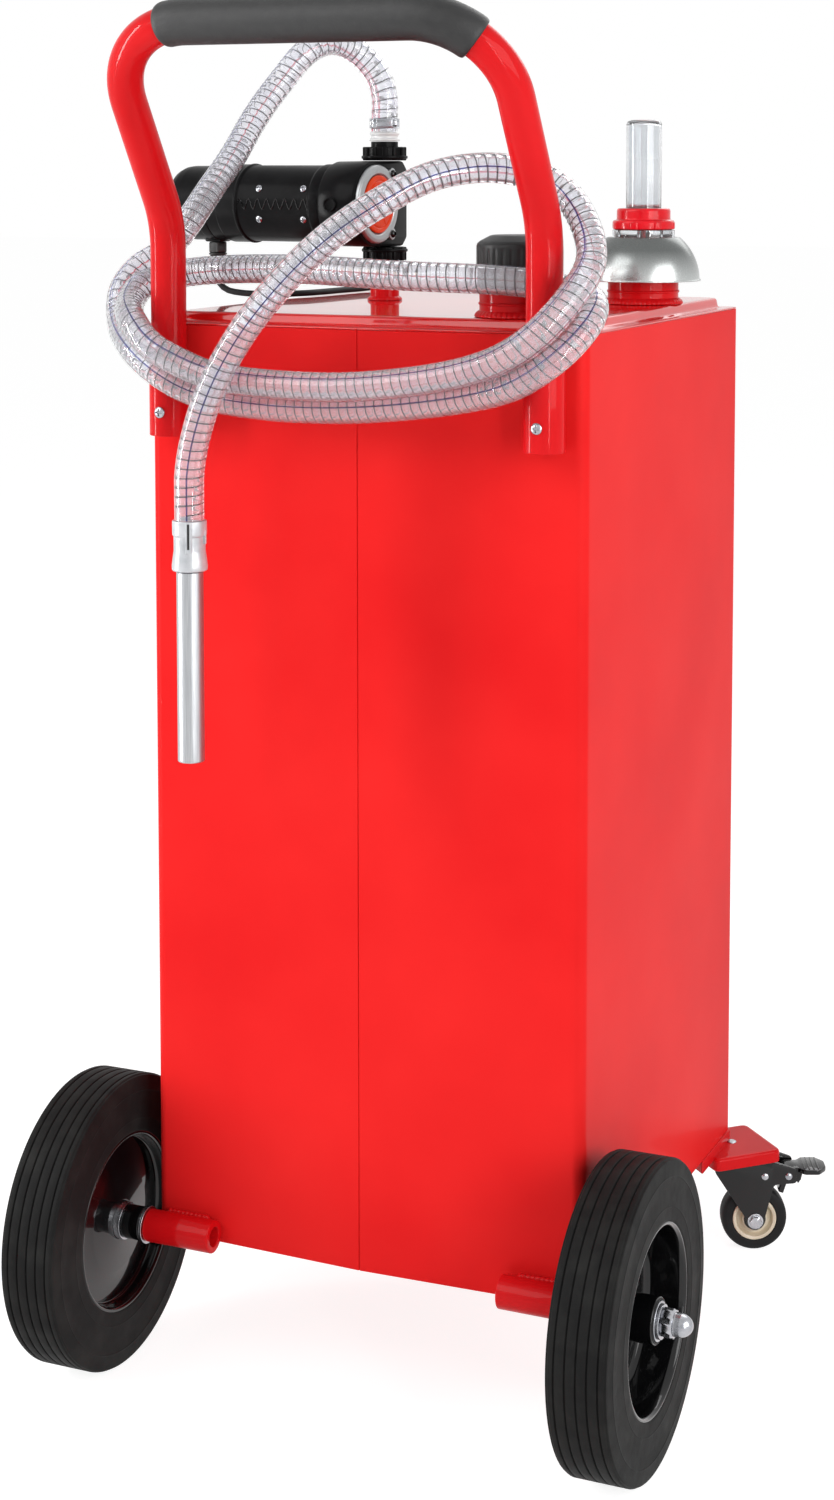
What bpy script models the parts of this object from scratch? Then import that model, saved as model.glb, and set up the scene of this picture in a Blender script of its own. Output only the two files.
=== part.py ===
# Fuel caddy: a welded sheet tank on two large wheels and two braked swivel casters,
# with a push handle, a filler, a float level gauge, an electric transfer pump and its hose.
# Units are metres, +Z is up, the floor is z = 0 and the handle side faces -Y.

import math

import bmesh
import bpy
import numpy as np
from mathutils import Matrix, Vector

# Clearances
FIT_GAP = 0.0003
RUN_GAP = 0.0005
OVERRUN = 0.010
BLEND = 0.0008

# Tank: the folded wrap, its floor and its pressed lid
TANK_WIDTH = 0.398
TANK_DEPTH = 0.428
TANK_HEIGHT = 0.805
TANK_BOTTOM = 0.116
SHEET = 0.0015
BACK_CREASE = 0.006
TANK_CORNER = 0.010
CORNER_STEPS = 3
LEDGE = 0.013
LID_RISE = 0.009
LID_DRAFT = 0.001
LID_CORNER = 0.016
TANK_TOP = TANK_BOTTOM + TANK_HEIGHT
LID_TOP = TANK_TOP + LID_RISE

# Necks that stand on the lid
NECK_RADIUS = 0.032
NECK_WALL = 0.002
NECK_DROP = 0.012
BEAD_HEIGHT = 0.006
BEAD_SWELL = 0.004
FILLER_XY = (0.121, 0.050)
FILLER_NECK_HEIGHT = 0.038
GAUGE_XY = (0.151, 0.285)
GAUGE_NECK_HEIGHT = 0.034
PUMP_XY = (-0.088, 0.245)
PIPE_RADIUS = 0.01335
PIPE_WALL = 0.00285
PIPE_HEIGHT = 0.0292

# Filler cap and its gasket
CAP_RADIUS = 0.0345
CAP_HEIGHT = 0.047
CAP_OVERLAP = 0.017
CAP_ROOF = 0.006
CAP_ROUND = 0.006
CAP_CROWN = 0.0015
CAP_SEAT_WIDTH = 0.0035
GASKET_THICKNESS = 0.003
GASKET_WIDTH = 0.006

# Level gauge
DOME_RADIUS = 0.051
DOME_FLAT = 0.032
DOME_HEIGHT = 0.039
DOME_RIM_LIFT = 0.021
DOME_SHEET = 0.0015
DOME_STEPS = 4
STEM_RADIUS = 0.0265
STEM_SHOULDER = 0.004
STEM_FLANGE = 0.003
STEM_SHOW = 0.007
COLLAR_RADIUS = 0.028
COLLAR_NECK_RADIUS = 0.024
COLLAR_FLANGE = 0.008
COLLAR_HEIGHT = 0.019
SIGHT_RADIUS = 0.016
SIGHT_WALL = 0.0022
SIGHT_ROUND = 0.004
SIGHT_STEPS = 3
SIGHT_HEIGHT = 0.0985
GUIDE_RADIUS = 0.007
GUIDE_BORE = 0.004
GUIDE_DEPTH = 0.445
EAR_THICKNESS = 0.003
EAR_WIDTH = 0.012
EAR_OVERLAP = 0.008
PIVOT_DROP = 0.023
PIVOT_RADIUS = 0.003
ARM_HUB_RADIUS = 0.0055
ARM_HUB_WIDTH = 0.008
ARM_LENGTH = 0.260
ARM_RADIUS = 0.003
ARM_DROOP = math.radians(65)
FLOAT_RADIUS = 0.025
FLOAT_LENGTH = 0.100
INDICATOR_RADIUS = 0.012
INDICATOR_HEIGHT = 0.008
INDICATOR_ROD = 0.002

# Handle, its grip, sockets and screws
TUBE_RADIUS = 0.015
TUBE_WALL = 0.0015
TUBE_RESOLUTION = 3
SOCKET_RADIUS = 0.017
SOCKET_DROP = 0.1035
SOCKET_HEIGHT = 0.066
SOCKET_STAND = 0.0008
HANDLE_FOOT_LIFT = 0.004
HANDLE_HALF_SPAN = 0.170
ELBOW_RISE = 0.0776
HANDLE_LEAN = math.radians(32.5)
HANDLE_RISE = 0.1602
ELBOW_RADIUS = 0.084
ELBOW_STEPS = 4
CORNER_RADIUS = 0.0735
CORNER_TURN_STEPS = 6
GRIP_RADIUS = 0.0185
GRIP_GAP = 0.0005
GRIP_LEFT_STEPS = 1
GRIP_RIGHT_STEPS = 3
SCREW_HEAD_RADIUS = 0.0045
SCREW_HEAD_HEIGHT = 0.0022
SCREW_RADIUS = 0.0025
SCREW_LENGTH = 0.010
SCREW_LIFT = 0.0205
HANDLE_Y = -(SOCKET_RADIUS + SOCKET_STAND)
SOCKET_BOTTOM = LID_TOP - SOCKET_DROP
HANDLE_ELBOW_HEIGHT = LID_TOP + ELBOW_RISE
HANDLE_HEIGHT = HANDLE_ELBOW_HEIGHT + HANDLE_RISE

# Large wheels and what carries them
WHEEL_RADIUS = 0.127
TYRE_WIDTH = 0.052
WHEEL_STANDOFF = 0.020
TYRE_SHOULDER = 0.003
TYRE_BORE = 0.075
RIM_WALL = 0.002
RIM_WEB = 0.003
RIM_WEB_INSET = 0.010
RIM_DISH = 0.006
HUB_WALL = 0.0022
BEARING_RADIUS = 0.016
BEARING_INSET = 0.001
BEARING_PROUD = 0.0012
STUD_RADIUS = 0.008
STUD_INSET = 0.016
AXLE_TUBE_RADIUS = 0.014
AXLE_TUBE_LENGTH = 0.064
AXLE_TUBE_INSET = 0.001
SPACER_RADIUS = 0.0145
SPACER_WASHER = 0.004
SPACER_WASHER_RADIUS = 0.016
NUT_RADIUS = 0.013
NUT_HEIGHT = 0.010
NUT_WASHER = 0.002
NUT_WASHER_RADIUS = 0.014
ACORN_RADIUS = 0.0098
ACORN_HEIGHT = 0.015
ACORN_STEPS = 3
TYRE_INNER_FACE = TANK_WIDTH / 2 + WHEEL_STANDOFF
AXLE_TUBE_OUTER = TANK_WIDTH / 2 - AXLE_TUBE_INSET
AXLE_TUBE_INNER = AXLE_TUBE_OUTER - AXLE_TUBE_LENGTH
STUD_ROOT = AXLE_TUBE_INNER + STUD_INSET
CREASE_RUN = TANK_WIDTH / 2 - TANK_CORNER
AXLE_Y = -(AXLE_TUBE_RADIUS + BACK_CREASE * (1 - AXLE_TUBE_INNER / CREASE_RUN) + FIT_GAP)

# Casters and the brackets that carry them
CASTER_OUTSET = 0.003
CASTER_INSET = 0.007
CASTER_XY = (TANK_WIDTH / 2 + CASTER_OUTSET, TANK_DEPTH - CASTER_INSET)
BRACKET_SIDE = 0.072
BRACKET_TOP = 0.105
BRACKET_SHEET = 0.003
BRACKET_RIM = 0.012
BRACKET_CORNER = 0.008
BRACKET_TURN = math.radians(45)
RISER_LEG = 0.092
PLATE_SIDE = 0.058
PLATE_THICKNESS = 0.0025
RACE_RADIUS = 0.023
CROWN_DROP = 0.001
KINGPIN_RADIUS = 0.005
KINGPIN_HEAD_RADIUS = 0.008
KINGPIN_HEAD = 0.002
KINGPIN_SHOW = 0.001
CASTER_HEADINGS = {1: math.radians(24), -1: math.radians(156)}
CASTER_TRAIL = 0.022
CASTER_RADIUS = 0.032
CASTER_TYRE_WIDTH = 0.022
CASTER_SHOULDER = 0.002
CASTER_HUB_RADIUS = 0.0212
CASTER_HUB_WIDTH = 0.026
CASTER_HUB_WALL = 0.0032
CASTER_BOSS_RADIUS = 0.008
CASTER_WEB = 0.006
CASTER_BOLT_RADIUS = 0.004
CASTER_NUT_RADIUS = 0.0065
CASTER_NUT = 0.005
FORK_GAP = 0.029
FORK_SHEET = 0.0025
CROWN_THICKNESS = 0.003
FORK_BACK = 0.018
FORK_SHOULDER = 0.040
FORK_NOSE = 0.062
FORK_NOSE_HEIGHT = 0.014
FORK_TOE = 0.008
FORK_TOE_STEPS = 4
BRAKE_PIVOT = (0.054, 0.0765)
BRAKE_PIN_RADIUS = 0.002
BRAKE_BOSS_RADIUS = 0.0055
BRAKE_WIDTH = 0.022
BRAKE_REACH = 0.092
BRAKE_PAD_START = 0.065
BRAKE_PAD_WIDTH = 0.034
BRAKE_PAD_THICKNESS = 0.005
BRAKE_PAD_LIFT = 0.0035
BRAKE_SHOE_REACH = 0.0205
BRAKE_SHOE_THICKNESS = 0.005
BRAKE_SHOE_WIDTH = 0.018
BRAKE_SHOE_ANGLE = math.radians(252)

# Pump: local X runs along the motor towards the cover, and the ports stand at the origin
PUMP_YAW = math.radians(-6)
PUMP_OFFSET = 0.033
HEAD_HALF_HEIGHT = 0.0396
HEAD_RADIUS = 0.0385
HEAD_FACE = 0.009
HEAD_BACK = 0.030
HEAD_BLOCK_BACK = 0.022
HEAD_PORT_SIDE = 0.027
CHAMBER_RADIUS = 0.026
CHAMBER_DEPTH = 0.022
PORT_BORE = 0.0055
COVER_RADIUS = 0.036
COVER_THICKNESS = 0.004
COVER_PAD_RADIUS = 0.0265
COVER_PAD_RISE = 0.0012
MOTOR_RADIUS = 0.0355
MOTOR_WALL = 0.0025
MOTOR_LENGTH = 0.126
MOTOR_LIP_FROM_TAIL = 0.013
MOTOR_LIP_WIDTH = 0.024
MOTOR_LIP_RISE = 0.001
TAIL_LENGTH = 0.048
TAIL_RADIUS = 0.035
TAIL_WALL = 0.003
TAIL_ROUND = 0.012
TAIL_STEPS = 3
SHAFT_RADIUS = 0.004
ROTOR_RADIUS = 0.0255
ARMATURE_RADIUS = 0.028
ARMATURE_LENGTH = 0.095
ARMATURE_FROM_HEAD = 0.015
SHAFT_TAIL = 0.010
UNION_RADIUS = 0.0225
UNION_HEIGHT = 0.0125
UNION_BORE = 0.0088
UNION_NECK_RADIUS = 0.0125
UNION_NECK = 0.005
TAILPIECE_RADIUS = 0.0138
TAILPIECE_HEIGHT = 0.0085
ADAPTER_RADIUS = 0.0155
ADAPTER_HEIGHT = 0.0072
GLAND_OFFSET = 0.164
GLAND_BOSS = 0.018
GLAND_BOSS_DROP = 0.0015
GLAND_RADIUS = 0.009
GLAND_BODY = 0.010
GLAND_NUT_RADIUS = 0.0075
GLAND_NUT = 0.011
PIPE_TOP = LID_TOP + PIPE_HEIGHT
ADAPTER_BOTTOM = PIPE_TOP + FIT_GAP
INLET_BOTTOM = ADAPTER_BOTTOM + ADAPTER_HEIGHT + FIT_GAP
HEAD_BOTTOM = INLET_BOTTOM + UNION_HEIGHT + FIT_GAP
PUMP_AXIS = HEAD_BOTTOM + HEAD_HALF_HEIGHT
OUTLET_BOTTOM = PUMP_AXIS + HEAD_HALF_HEIGHT + FIT_GAP
TAILPIECE_BOTTOM = OUTLET_BOTTOM + UNION_HEIGHT + UNION_NECK + FIT_GAP
HOSE_START = TAILPIECE_BOTTOM + TAILPIECE_HEIGHT + FIT_GAP
MOTOR_START = -(HEAD_BACK + FIT_GAP)
TAIL_START = MOTOR_START - MOTOR_LENGTH - FIT_GAP
GLAND_TOP = PUMP_AXIS - TAIL_RADIUS - GLAND_BOSS_DROP - FIT_GAP
GLAND_BOTTOM = GLAND_TOP - GLAND_BODY - GLAND_NUT

# Pick-up tube inside the tank, with its strainer bell
PICKUP_RADIUS = 0.010
PICKUP_WALL = 0.0012
PICKUP_FLANGE_RADIUS = 0.013
PICKUP_FLANGE = 0.0018
PICKUP_FLOOR_GAP = 0.0145
STRAINER_RADIUS = 0.0155
STRAINER_WALL = 0.0015
STRAINER_HEIGHT = 0.045

# Delivery hose, laid by hand as it hangs: over the pump, round the handle twice, to the nozzle
HOSE_RADIUS = 0.01225
HOSE_STEP = 0.024
CLAMP_WALL = 0.0014
CLAMP_WIDTH = 0.009
CLAMP_LIFT = 0.003
CLAMP_HOUSING = (0.020, 0.007, 0.0075)
CLAMP_FACING = math.radians(24)
HOSE_ROUTE = (
    (-0.088, 0.245, 1.100), (-0.088, 0.245, 1.117), (-0.095, 0.245, 1.138), (-0.112, 0.235, 1.160),
    (-0.126, 0.214, 1.168), (-0.140, 0.189, 1.158), (-0.157, 0.171, 1.131), (-0.169, 0.145, 1.100),
    (-0.176, 0.112, 1.063), (-0.180, 0.074, 1.032), (-0.189, 0.046, 1.001), (-0.204, 0.037, 0.980),
    (-0.222, 0.024, 0.966), (-0.230, 0.009, 0.947), (-0.224, -0.005, 0.923), (-0.186, -0.046, 0.899),
    (-0.159, -0.051, 0.881), (-0.129, -0.049, 0.867), (-0.073, -0.045, 0.858), (0.017, -0.044, 0.858),
    (0.121, -0.047, 0.872), (0.163, -0.055, 0.885), (0.196, -0.051, 0.908), (0.210, -0.024, 0.933),
    (0.202, 0.003, 0.947), (0.177, 0.013, 0.955), (0.144, 0.004, 0.961), (0.041, -0.008, 0.965),
    (-0.072, 0.009, 0.968), (-0.173, 0.032, 0.963), (-0.195, 0.021, 0.958), (-0.206, 0.001, 0.952),
    (-0.205, -0.021, 0.939), (-0.182, -0.058, 0.925), (-0.159, -0.068, 0.906), (-0.135, -0.065, 0.893),
    (-0.106, -0.064, 0.883), (-0.063, -0.065, 0.878), (0.027, -0.065, 0.878), (0.129, -0.066, 0.895),
    (0.173, -0.069, 0.916), (0.202, -0.050, 0.950), (0.211, -0.023, 0.981), (0.195, 0.000, 1.013),
    (0.170, 0.011, 1.038), (0.143, 0.008, 1.049), (0.114, -0.008, 1.053), (0.079, -0.032, 1.046),
    (0.044, -0.057, 1.025), (0.007, -0.075, 0.997), (-0.030, -0.084, 0.961), (-0.065, -0.089, 0.918),
    (-0.091, -0.091, 0.873), (-0.105, -0.091, 0.835), (-0.112, -0.089, 0.805), (-0.113, -0.088, 0.790),
    (-0.113, -0.088, 0.766),
)
COUPLING_RADIUS = 0.0142
COUPLING_HEIGHT = 0.042
COUPLING_WAIST_DEPTH = 0.0012
COUPLING_COLLAR = 0.012
NOZZLE_RADIUS = 0.0111
NOZZLE_WALL = 0.0015
NOZZLE_LENGTH = 0.158

# Power cable, laid by hand from the gland over the lid and down the front, then coiled
CABLE_RADIUS = 0.003
CABLE_STEP = 0.018
CABLE_ROUTE = (
    (-0.2546, 0.2293, 0.950), (-0.2546, 0.2293, 0.946), (-0.247, 0.230, 0.938), (-0.230, 0.231, 0.9345),
    (-0.195, 0.240, 0.9338), (-0.180, 0.262, 0.9338), (-0.175, 0.290, 0.9338), (-0.172, 0.330, 0.9338),
    (-0.168, 0.375, 0.9338), (-0.165, 0.405, 0.9345), (-0.163, 0.424, 0.9322), (-0.161, 0.437, 0.921),
    (-0.158, 0.440, 0.900), (-0.150, 0.436, 0.850), (-0.136, 0.4325, 0.760), (-0.120, 0.4325, 0.650),
    (-0.102, 0.4325, 0.530), (-0.084, 0.4325, 0.410), (-0.067, 0.4325, 0.290), (-0.054, 0.434, 0.180),
    (-0.045, 0.440, 0.100), (-0.038, 0.452, 0.045), (-0.030, 0.467, 0.014), (-0.021, 0.481, 0.0045),
)
COIL_CENTRE = (-0.060, 0.570)
COIL_RADIUS = 0.085
COIL_PITCH = 0.0074
COIL_TURNS_IN = 2
COIL_TURNS_CLIMB = 0.5
COIL_LOOP_POINTS = 24
COIL_START = math.radians(-45)
COIL_TAIL = 0.046
PLUG_RADIUS = 0.0105
PLUG_LENGTH = 0.055
PLUG_TIP_RADIUS = 0.004
PLUG_TIP = 0.008
CABLE_FLOOR = CABLE_RADIUS + FIT_GAP
COIL_LAYER_RISE = PLUG_RADIUS - CABLE_RADIUS

# Facets round a turned piece
WHEEL_SIDES = 32
ROUND_SIDES = 20
SMALL_SIDES = 12
PIN_SIDES = 12
HEX_SIDES = 6

# Red, green, blue, roughness and metallic of each finish
FINISHES = {
    "red_paint": (0.72, 0.02, 0.02, 0.25, 0.0),
    "black_foam": (0.02, 0.02, 0.02, 0.90, 0.0),
    "tyre_rubber": (0.03, 0.03, 0.03, 0.70, 0.0),
    "black_enamel": (0.01, 0.01, 0.01, 0.15, 0.0),
    "black_casting": (0.03, 0.03, 0.03, 0.45, 0.0),
    "bright_steel": (0.75, 0.75, 0.76, 0.25, 1.0),
    "satin_silver": (0.62, 0.63, 0.64, 0.35, 1.0),
    "cream_plastic": (0.75, 0.70, 0.58, 0.40, 0.0),
    "red_plastic": (0.75, 0.03, 0.03, 0.30, 0.0),
    "clear_plastic": (0.85, 0.88, 0.90, 0.05, 0.0),
    "black_plastic": (0.02, 0.02, 0.02, 0.35, 0.0),
    "white_plastic": (0.85, 0.85, 0.82, 0.40, 0.0),
    "brass": (0.75, 0.50, 0.22, 0.35, 1.0),
    "black_rubber": (0.02, 0.02, 0.02, 0.80, 0.0),
}
SMOOTH_ANGLE = math.radians(35)
WELD = 0.000001
UP = Vector((0, 0, 1))


def new_collection(name):
    made = bpy.data.collections.new(name)
    bpy.context.scene.collection.children.link(made)
    return made


for leftover in list(bpy.data.objects):
    bpy.data.objects.remove(leftover, do_unlink=True)
PARTS = new_collection("fuel_caddy")
CUTTERS = new_collection("cutters")


def empty(name, parent=None, location=(0, 0, 0), turn=0.0):
    obj = bpy.data.objects.new(name, None)
    obj.location = location
    obj.rotation_euler.z = turn
    obj.parent = parent
    PARTS.objects.link(obj)
    return obj


ROOT = empty("caddy")


def finish_of(name):
    if name in bpy.data.materials:
        return bpy.data.materials[name]
    red, green, blue, roughness, metallic = FINISHES[name]
    material = bpy.data.materials.new(name)
    material.use_nodes = True
    shader = material.node_tree.nodes["Principled BSDF"]
    shader.inputs["Base Color"].default_value = (red, green, blue, 1)
    shader.inputs["Roughness"].default_value = roughness
    shader.inputs["Metallic"].default_value = metallic
    return material


def placed(axis, place):
    """The matrix that stands local +Z on the axis, at the place."""
    turn = UP.rotation_difference(Vector(axis)).to_matrix().to_4x4()
    return Matrix.Translation(place) @ turn


def enter(name, data, finish, parent, matrix):
    data.materials.clear()
    data.materials.append(finish_of(finish))
    obj = bpy.data.objects.new(name, data)
    obj.matrix_local = matrix
    obj.parent = parent
    PARTS.objects.link(obj)
    return obj


def enter_solid(name, bm, finish, parent, matrix):
    mesh = bpy.data.meshes.new(name)
    bm.to_mesh(mesh)
    bm.free()
    mesh.shade_smooth()
    mesh.set_sharp_from_angle(angle=SMOOTH_ANGLE)
    return enter(name, mesh, finish, parent, matrix)


def settled(obj):
    """The object's evaluated shape as a plain mesh under its name, seams welded."""
    bpy.context.view_layer.update()
    graph = bpy.context.evaluated_depsgraph_get()
    mesh = bpy.data.meshes.new_from_object(obj.evaluated_get(graph))
    bm = bmesh.new()
    bm.from_mesh(mesh)
    bmesh.ops.remove_doubles(bm, verts=bm.verts, dist=WELD)
    bmesh.ops.recalc_face_normals(bm, faces=bm.faces)
    bpy.data.meshes.remove(mesh)
    name, finish = obj.name, obj.data.materials[0].name
    parent, matrix = obj.parent, obj.matrix_local.copy()
    bpy.data.objects.remove(obj, do_unlink=True)
    return enter_solid(name, bm, finish, parent, matrix)


def box(name, size, centre, finish, parent, turn=None):
    bm = bmesh.new()
    bmesh.ops.create_cube(bm, size=1, matrix=Matrix.Diagonal((*size, 1)))
    matrix = Matrix.Translation(centre) @ (turn or Matrix.Identity(4))
    return enter_solid(name, bm, finish, parent, matrix)


def rod(name, radius, length, axis, centre, finish, parent, sides=SMALL_SIDES):
    bm = bmesh.new()
    bmesh.ops.create_cone(
        bm, cap_ends=True, segments=sides, radius1=radius, radius2=radius, depth=length
    )
    return enter_solid(name, bm, finish, parent, placed(axis, centre))


def profile_mesh(name, profile):
    """A line of (radius, height) points, closed to a ring unless it begins on the axis."""
    bm = bmesh.new()
    points = [bm.verts.new((radius, 0, height)) for radius, height in profile]
    ends = [*points[1:], points[0]]
    if profile[0][0] == 0 or profile[0] == profile[-1]:
        ends.pop()
    for first, second in zip(points, ends):
        bm.edges.new((first, second))
    mesh = bpy.data.meshes.new(name)
    bm.to_mesh(mesh)
    bm.free()
    return mesh


def turned(name, profile, axis, base, finish, parent, sides=ROUND_SIDES):
    """A profile that runs down its outer side, turned about the axis from its base."""
    obj = enter(name, profile_mesh(name, profile), finish, parent, placed(axis, base))
    screw = obj.modifiers.new("turn", "SCREW")
    screw.axis = "Z"
    screw.steps = sides
    screw.render_steps = sides
    screw.use_merge_vertices = True
    screw.merge_threshold = WELD
    return settled(obj)


def swept(name, points, radius, finish, parent, resolution=2):
    curve = bpy.data.curves.new(name, "CURVE")
    curve.dimensions = "3D"
    curve.bevel_depth = radius
    curve.bevel_resolution = resolution
    curve.use_fill_caps = True
    spline = curve.splines.new("POLY")
    spline.points.add(len(points) - 1)
    for point, place in zip(spline.points, points):
        point.co = (*place, 1)
    return enter(name, curve, finish, parent, Matrix.Identity(4))


def plate(name, outline, thickness, finish, parent, matrix):
    """A flat outline, its thickness centred on the plane of the matrix."""
    curve = bpy.data.curves.new(name, "CURVE")
    curve.dimensions = "2D"
    curve.fill_mode = "BOTH"
    curve.extrude = thickness / 2
    spline = curve.splines.new("POLY")
    spline.points.add(len(outline) - 1)
    for point, place in zip(spline.points, outline):
        point.co = (*place, 0, 1)
    spline.use_cyclic_u = True
    return settled(enter(name, curve, finish, parent, matrix))


def combine(target, tool, operation):
    """Joins the tool to the target or cuts it away, and keeps it as a hidden guide."""
    PARTS.objects.unlink(tool)
    CUTTERS.objects.link(tool)
    tool.hide_render = True
    tool.display_type = "WIRE"
    tool.name = f"{target.name}_{operation.lower()}_{len(target.modifiers)}"
    boolean = target.modifiers.new(operation.lower(), "BOOLEAN")
    boolean.operation = operation
    boolean.object = tool


def joined(target, *tools):
    for tool in tools:
        combine(target, tool, "UNION")
    return target


def cut(target, *tools):
    for tool in tools:
        combine(target, tool, "DIFFERENCE")
    return target


def bore(target, radius, length, axis, centre, parent, sides=SMALL_SIDES):
    return cut(target, rod("bore", radius, length, axis, centre, "bright_steel", parent, sides))


def ring_profile(outer, inner, top, bottom):
    return [(outer, top), (outer, bottom), (inner, bottom), (inner, top)]


def disc_profile(radius, top, bottom):
    return [(0, top), (radius, top), (radius, bottom), (0, bottom)]


def arc(centre, radius, start, end, steps):
    """Points round a centre from one angle to another, both ends included."""
    turns = [start + (end - start) * step / steps for step in range(steps + 1)]
    return [
        (centre[0] + radius * math.cos(turn), centre[1] + radius * math.sin(turn))
        for turn in turns
    ]


def rounded_outline(width, depth, centre, radius, crease=0.0):
    """A rounded rectangle, with one point in the middle of its near side."""
    quarter = math.pi / 2
    points = [(centre[0], centre[1] - depth / 2 - crease)]
    for index, (side_x, side_y) in enumerate(((1, -1), (1, 1), (-1, 1), (-1, -1))):
        x = centre[0] + side_x * (width / 2 - radius)
        y = centre[1] + side_y * (depth / 2 - radius)
        start = (index - 1) * quarter
        points += arc((x, y), radius, start, start + quarter, CORNER_STEPS)
    return points


def ring(bm, outline, height):
    return [bm.verts.new((x, y, height)) for x, y in outline]


def bridge(bm, lower, upper):
    for index, vert in enumerate(lower):
        after = (index + 1) % len(lower)
        bm.faces.new((vert, lower[after], upper[after], upper[index]))


def thickened(obj, thickness):
    sheet = obj.modifiers.new("sheet", "SOLIDIFY")
    sheet.thickness = thickness
    sheet.offset = -1
    sheet.use_even_offset = True
    return obj


def curve_point(a, b, c, d, knots, t):
    """A point between b and c of the smooth curve through four points."""

    def mix(p, q, start, end):
        return p + (q - p) * (t - knots[start]) / (knots[end] - knots[start])

    ab, bc, cd = mix(a, b, 0, 1), mix(b, c, 1, 2), mix(c, d, 2, 3)
    return mix(mix(ab, bc, 0, 2), mix(bc, cd, 1, 3), 1, 2)


def smooth_route(route, step, fine_steps=12):
    """An evenly stepped line along the centripetal curve through the route."""
    points = [np.array(point) for point in route]
    points = [2 * points[0] - points[1], *points, 2 * points[-1] - points[-2]]
    fine = []
    for four in zip(points, points[1:], points[2:], points[3:]):
        spans = [np.linalg.norm(after - before) ** 0.5 for before, after in zip(four, four[1:])]
        knots = np.cumsum([0, *spans])
        for t in np.linspace(knots[1], knots[2], fine_steps, endpoint=False):
            fine.append(curve_point(*four, knots, t))
    fine = np.array([*fine, points[-2]])
    along = np.concatenate([[0], np.cumsum(np.linalg.norm(np.diff(fine, axis=0), axis=1))])
    places = np.linspace(0, along[-1], max(2, round(along[-1] / step)) + 1)
    return np.stack([np.interp(places, along, fine[:, axis]) for axis in range(3)], axis=1)


def least_gap(points, radius):
    """The least clear gap between parts of one tube that aren't neighbours along it."""
    points = np.array(points)
    along = np.concatenate([[0], np.cumsum(np.linalg.norm(np.diff(points, axis=0), axis=1))])
    apart = np.linalg.norm(points[:, None] - points[None], axis=2)
    far = np.abs(along[:, None] - along[None]) > 2 * math.pi * radius
    return apart[far].min() - 2 * radius


def make_tank():
    outline = rounded_outline(
        TANK_WIDTH, TANK_DEPTH, (0, TANK_DEPTH / 2), TANK_CORNER, BACK_CREASE
    )
    bm = bmesh.new()
    floor = ring(bm, outline, TANK_BOTTOM)
    rim = ring(bm, outline, TANK_TOP - SHEET - FIT_GAP)
    bm.faces.new(reversed(floor))
    bridge(bm, floor, rim)
    thickened(enter_solid("tank_shell", bm, "red_paint", ROOT, Matrix.Identity(4)), SHEET)

    width, depth = TANK_WIDTH - 2 * LEDGE, TANK_DEPTH - 2 * LEDGE
    centre = (0, TANK_DEPTH / 2)
    bm = bmesh.new()
    edge = ring(bm, outline, TANK_TOP)
    foot = ring(bm, rounded_outline(width, depth, centre, LID_CORNER), TANK_TOP)
    drawn = (width - 2 * LID_DRAFT, depth - 2 * LID_DRAFT)
    crown = ring(bm, rounded_outline(*drawn, centre, LID_CORNER - LID_DRAFT), LID_TOP)
    bridge(bm, edge, foot)
    bridge(bm, foot, crown)
    bm.faces.new(crown)
    lid = thickened(enter_solid("tank_top", bm, "red_paint", ROOT, Matrix.Identity(4)), SHEET)
    for (x, y), radius in (
        (FILLER_XY, NECK_RADIUS),
        (GAUGE_XY, NECK_RADIUS),
        (PUMP_XY, PIPE_RADIUS),
    ):
        place = (x, y, LID_TOP)
        bore(lid, radius + FIT_GAP, 2 * OVERRUN, UP, place, ROOT, ROUND_SIDES)


def make_neck(name, place, radius, wall, height, finish):
    seat = LID_TOP + FIT_GAP
    profile = [
        (radius, LID_TOP + height),
        (radius, seat + BEAD_HEIGHT),
        (radius + BEAD_SWELL, seat + BEAD_HEIGHT / 2),
        (radius + BEAD_SWELL, seat),
        (radius, seat),
        (radius, LID_TOP - NECK_DROP),
        (radius - wall, LID_TOP - NECK_DROP),
        (radius - wall, LID_TOP + height),
    ]
    turned(name, profile, UP, (*place, 0), finish, ROOT)


def make_filler_cap():
    neck_top = LID_TOP + FILLER_NECK_HEIGHT
    base = (*FILLER_XY, neck_top)
    gasket_top = FIT_GAP + GASKET_THICKNESS
    gasket = ring_profile(NECK_RADIUS, NECK_RADIUS - GASKET_WIDTH, gasket_top, FIT_GAP)
    turned("cap_gasket", gasket, UP, base, "black_rubber", ROOT)

    bottom = -CAP_OVERLAP
    top = bottom + CAP_HEIGHT
    bore_radius = NECK_RADIUS + RUN_GAP
    seat = gasket_top + FIT_GAP
    corner = (CAP_RADIUS - CAP_ROUND, top - CAP_CROWN - CAP_ROUND)
    profile = [
        (0, top),
        *arc(corner, CAP_ROUND, math.pi / 2, 0, CORNER_STEPS),
        (CAP_RADIUS, bottom),
        (bore_radius, bottom),
        (bore_radius, seat),
        (bore_radius - CAP_SEAT_WIDTH, seat),
        (bore_radius - CAP_SEAT_WIDTH, top - CAP_ROOF),
        (0, top - CAP_ROOF),
    ]
    turned("filler_cap", profile, UP, base, "black_plastic", ROOT)


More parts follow.
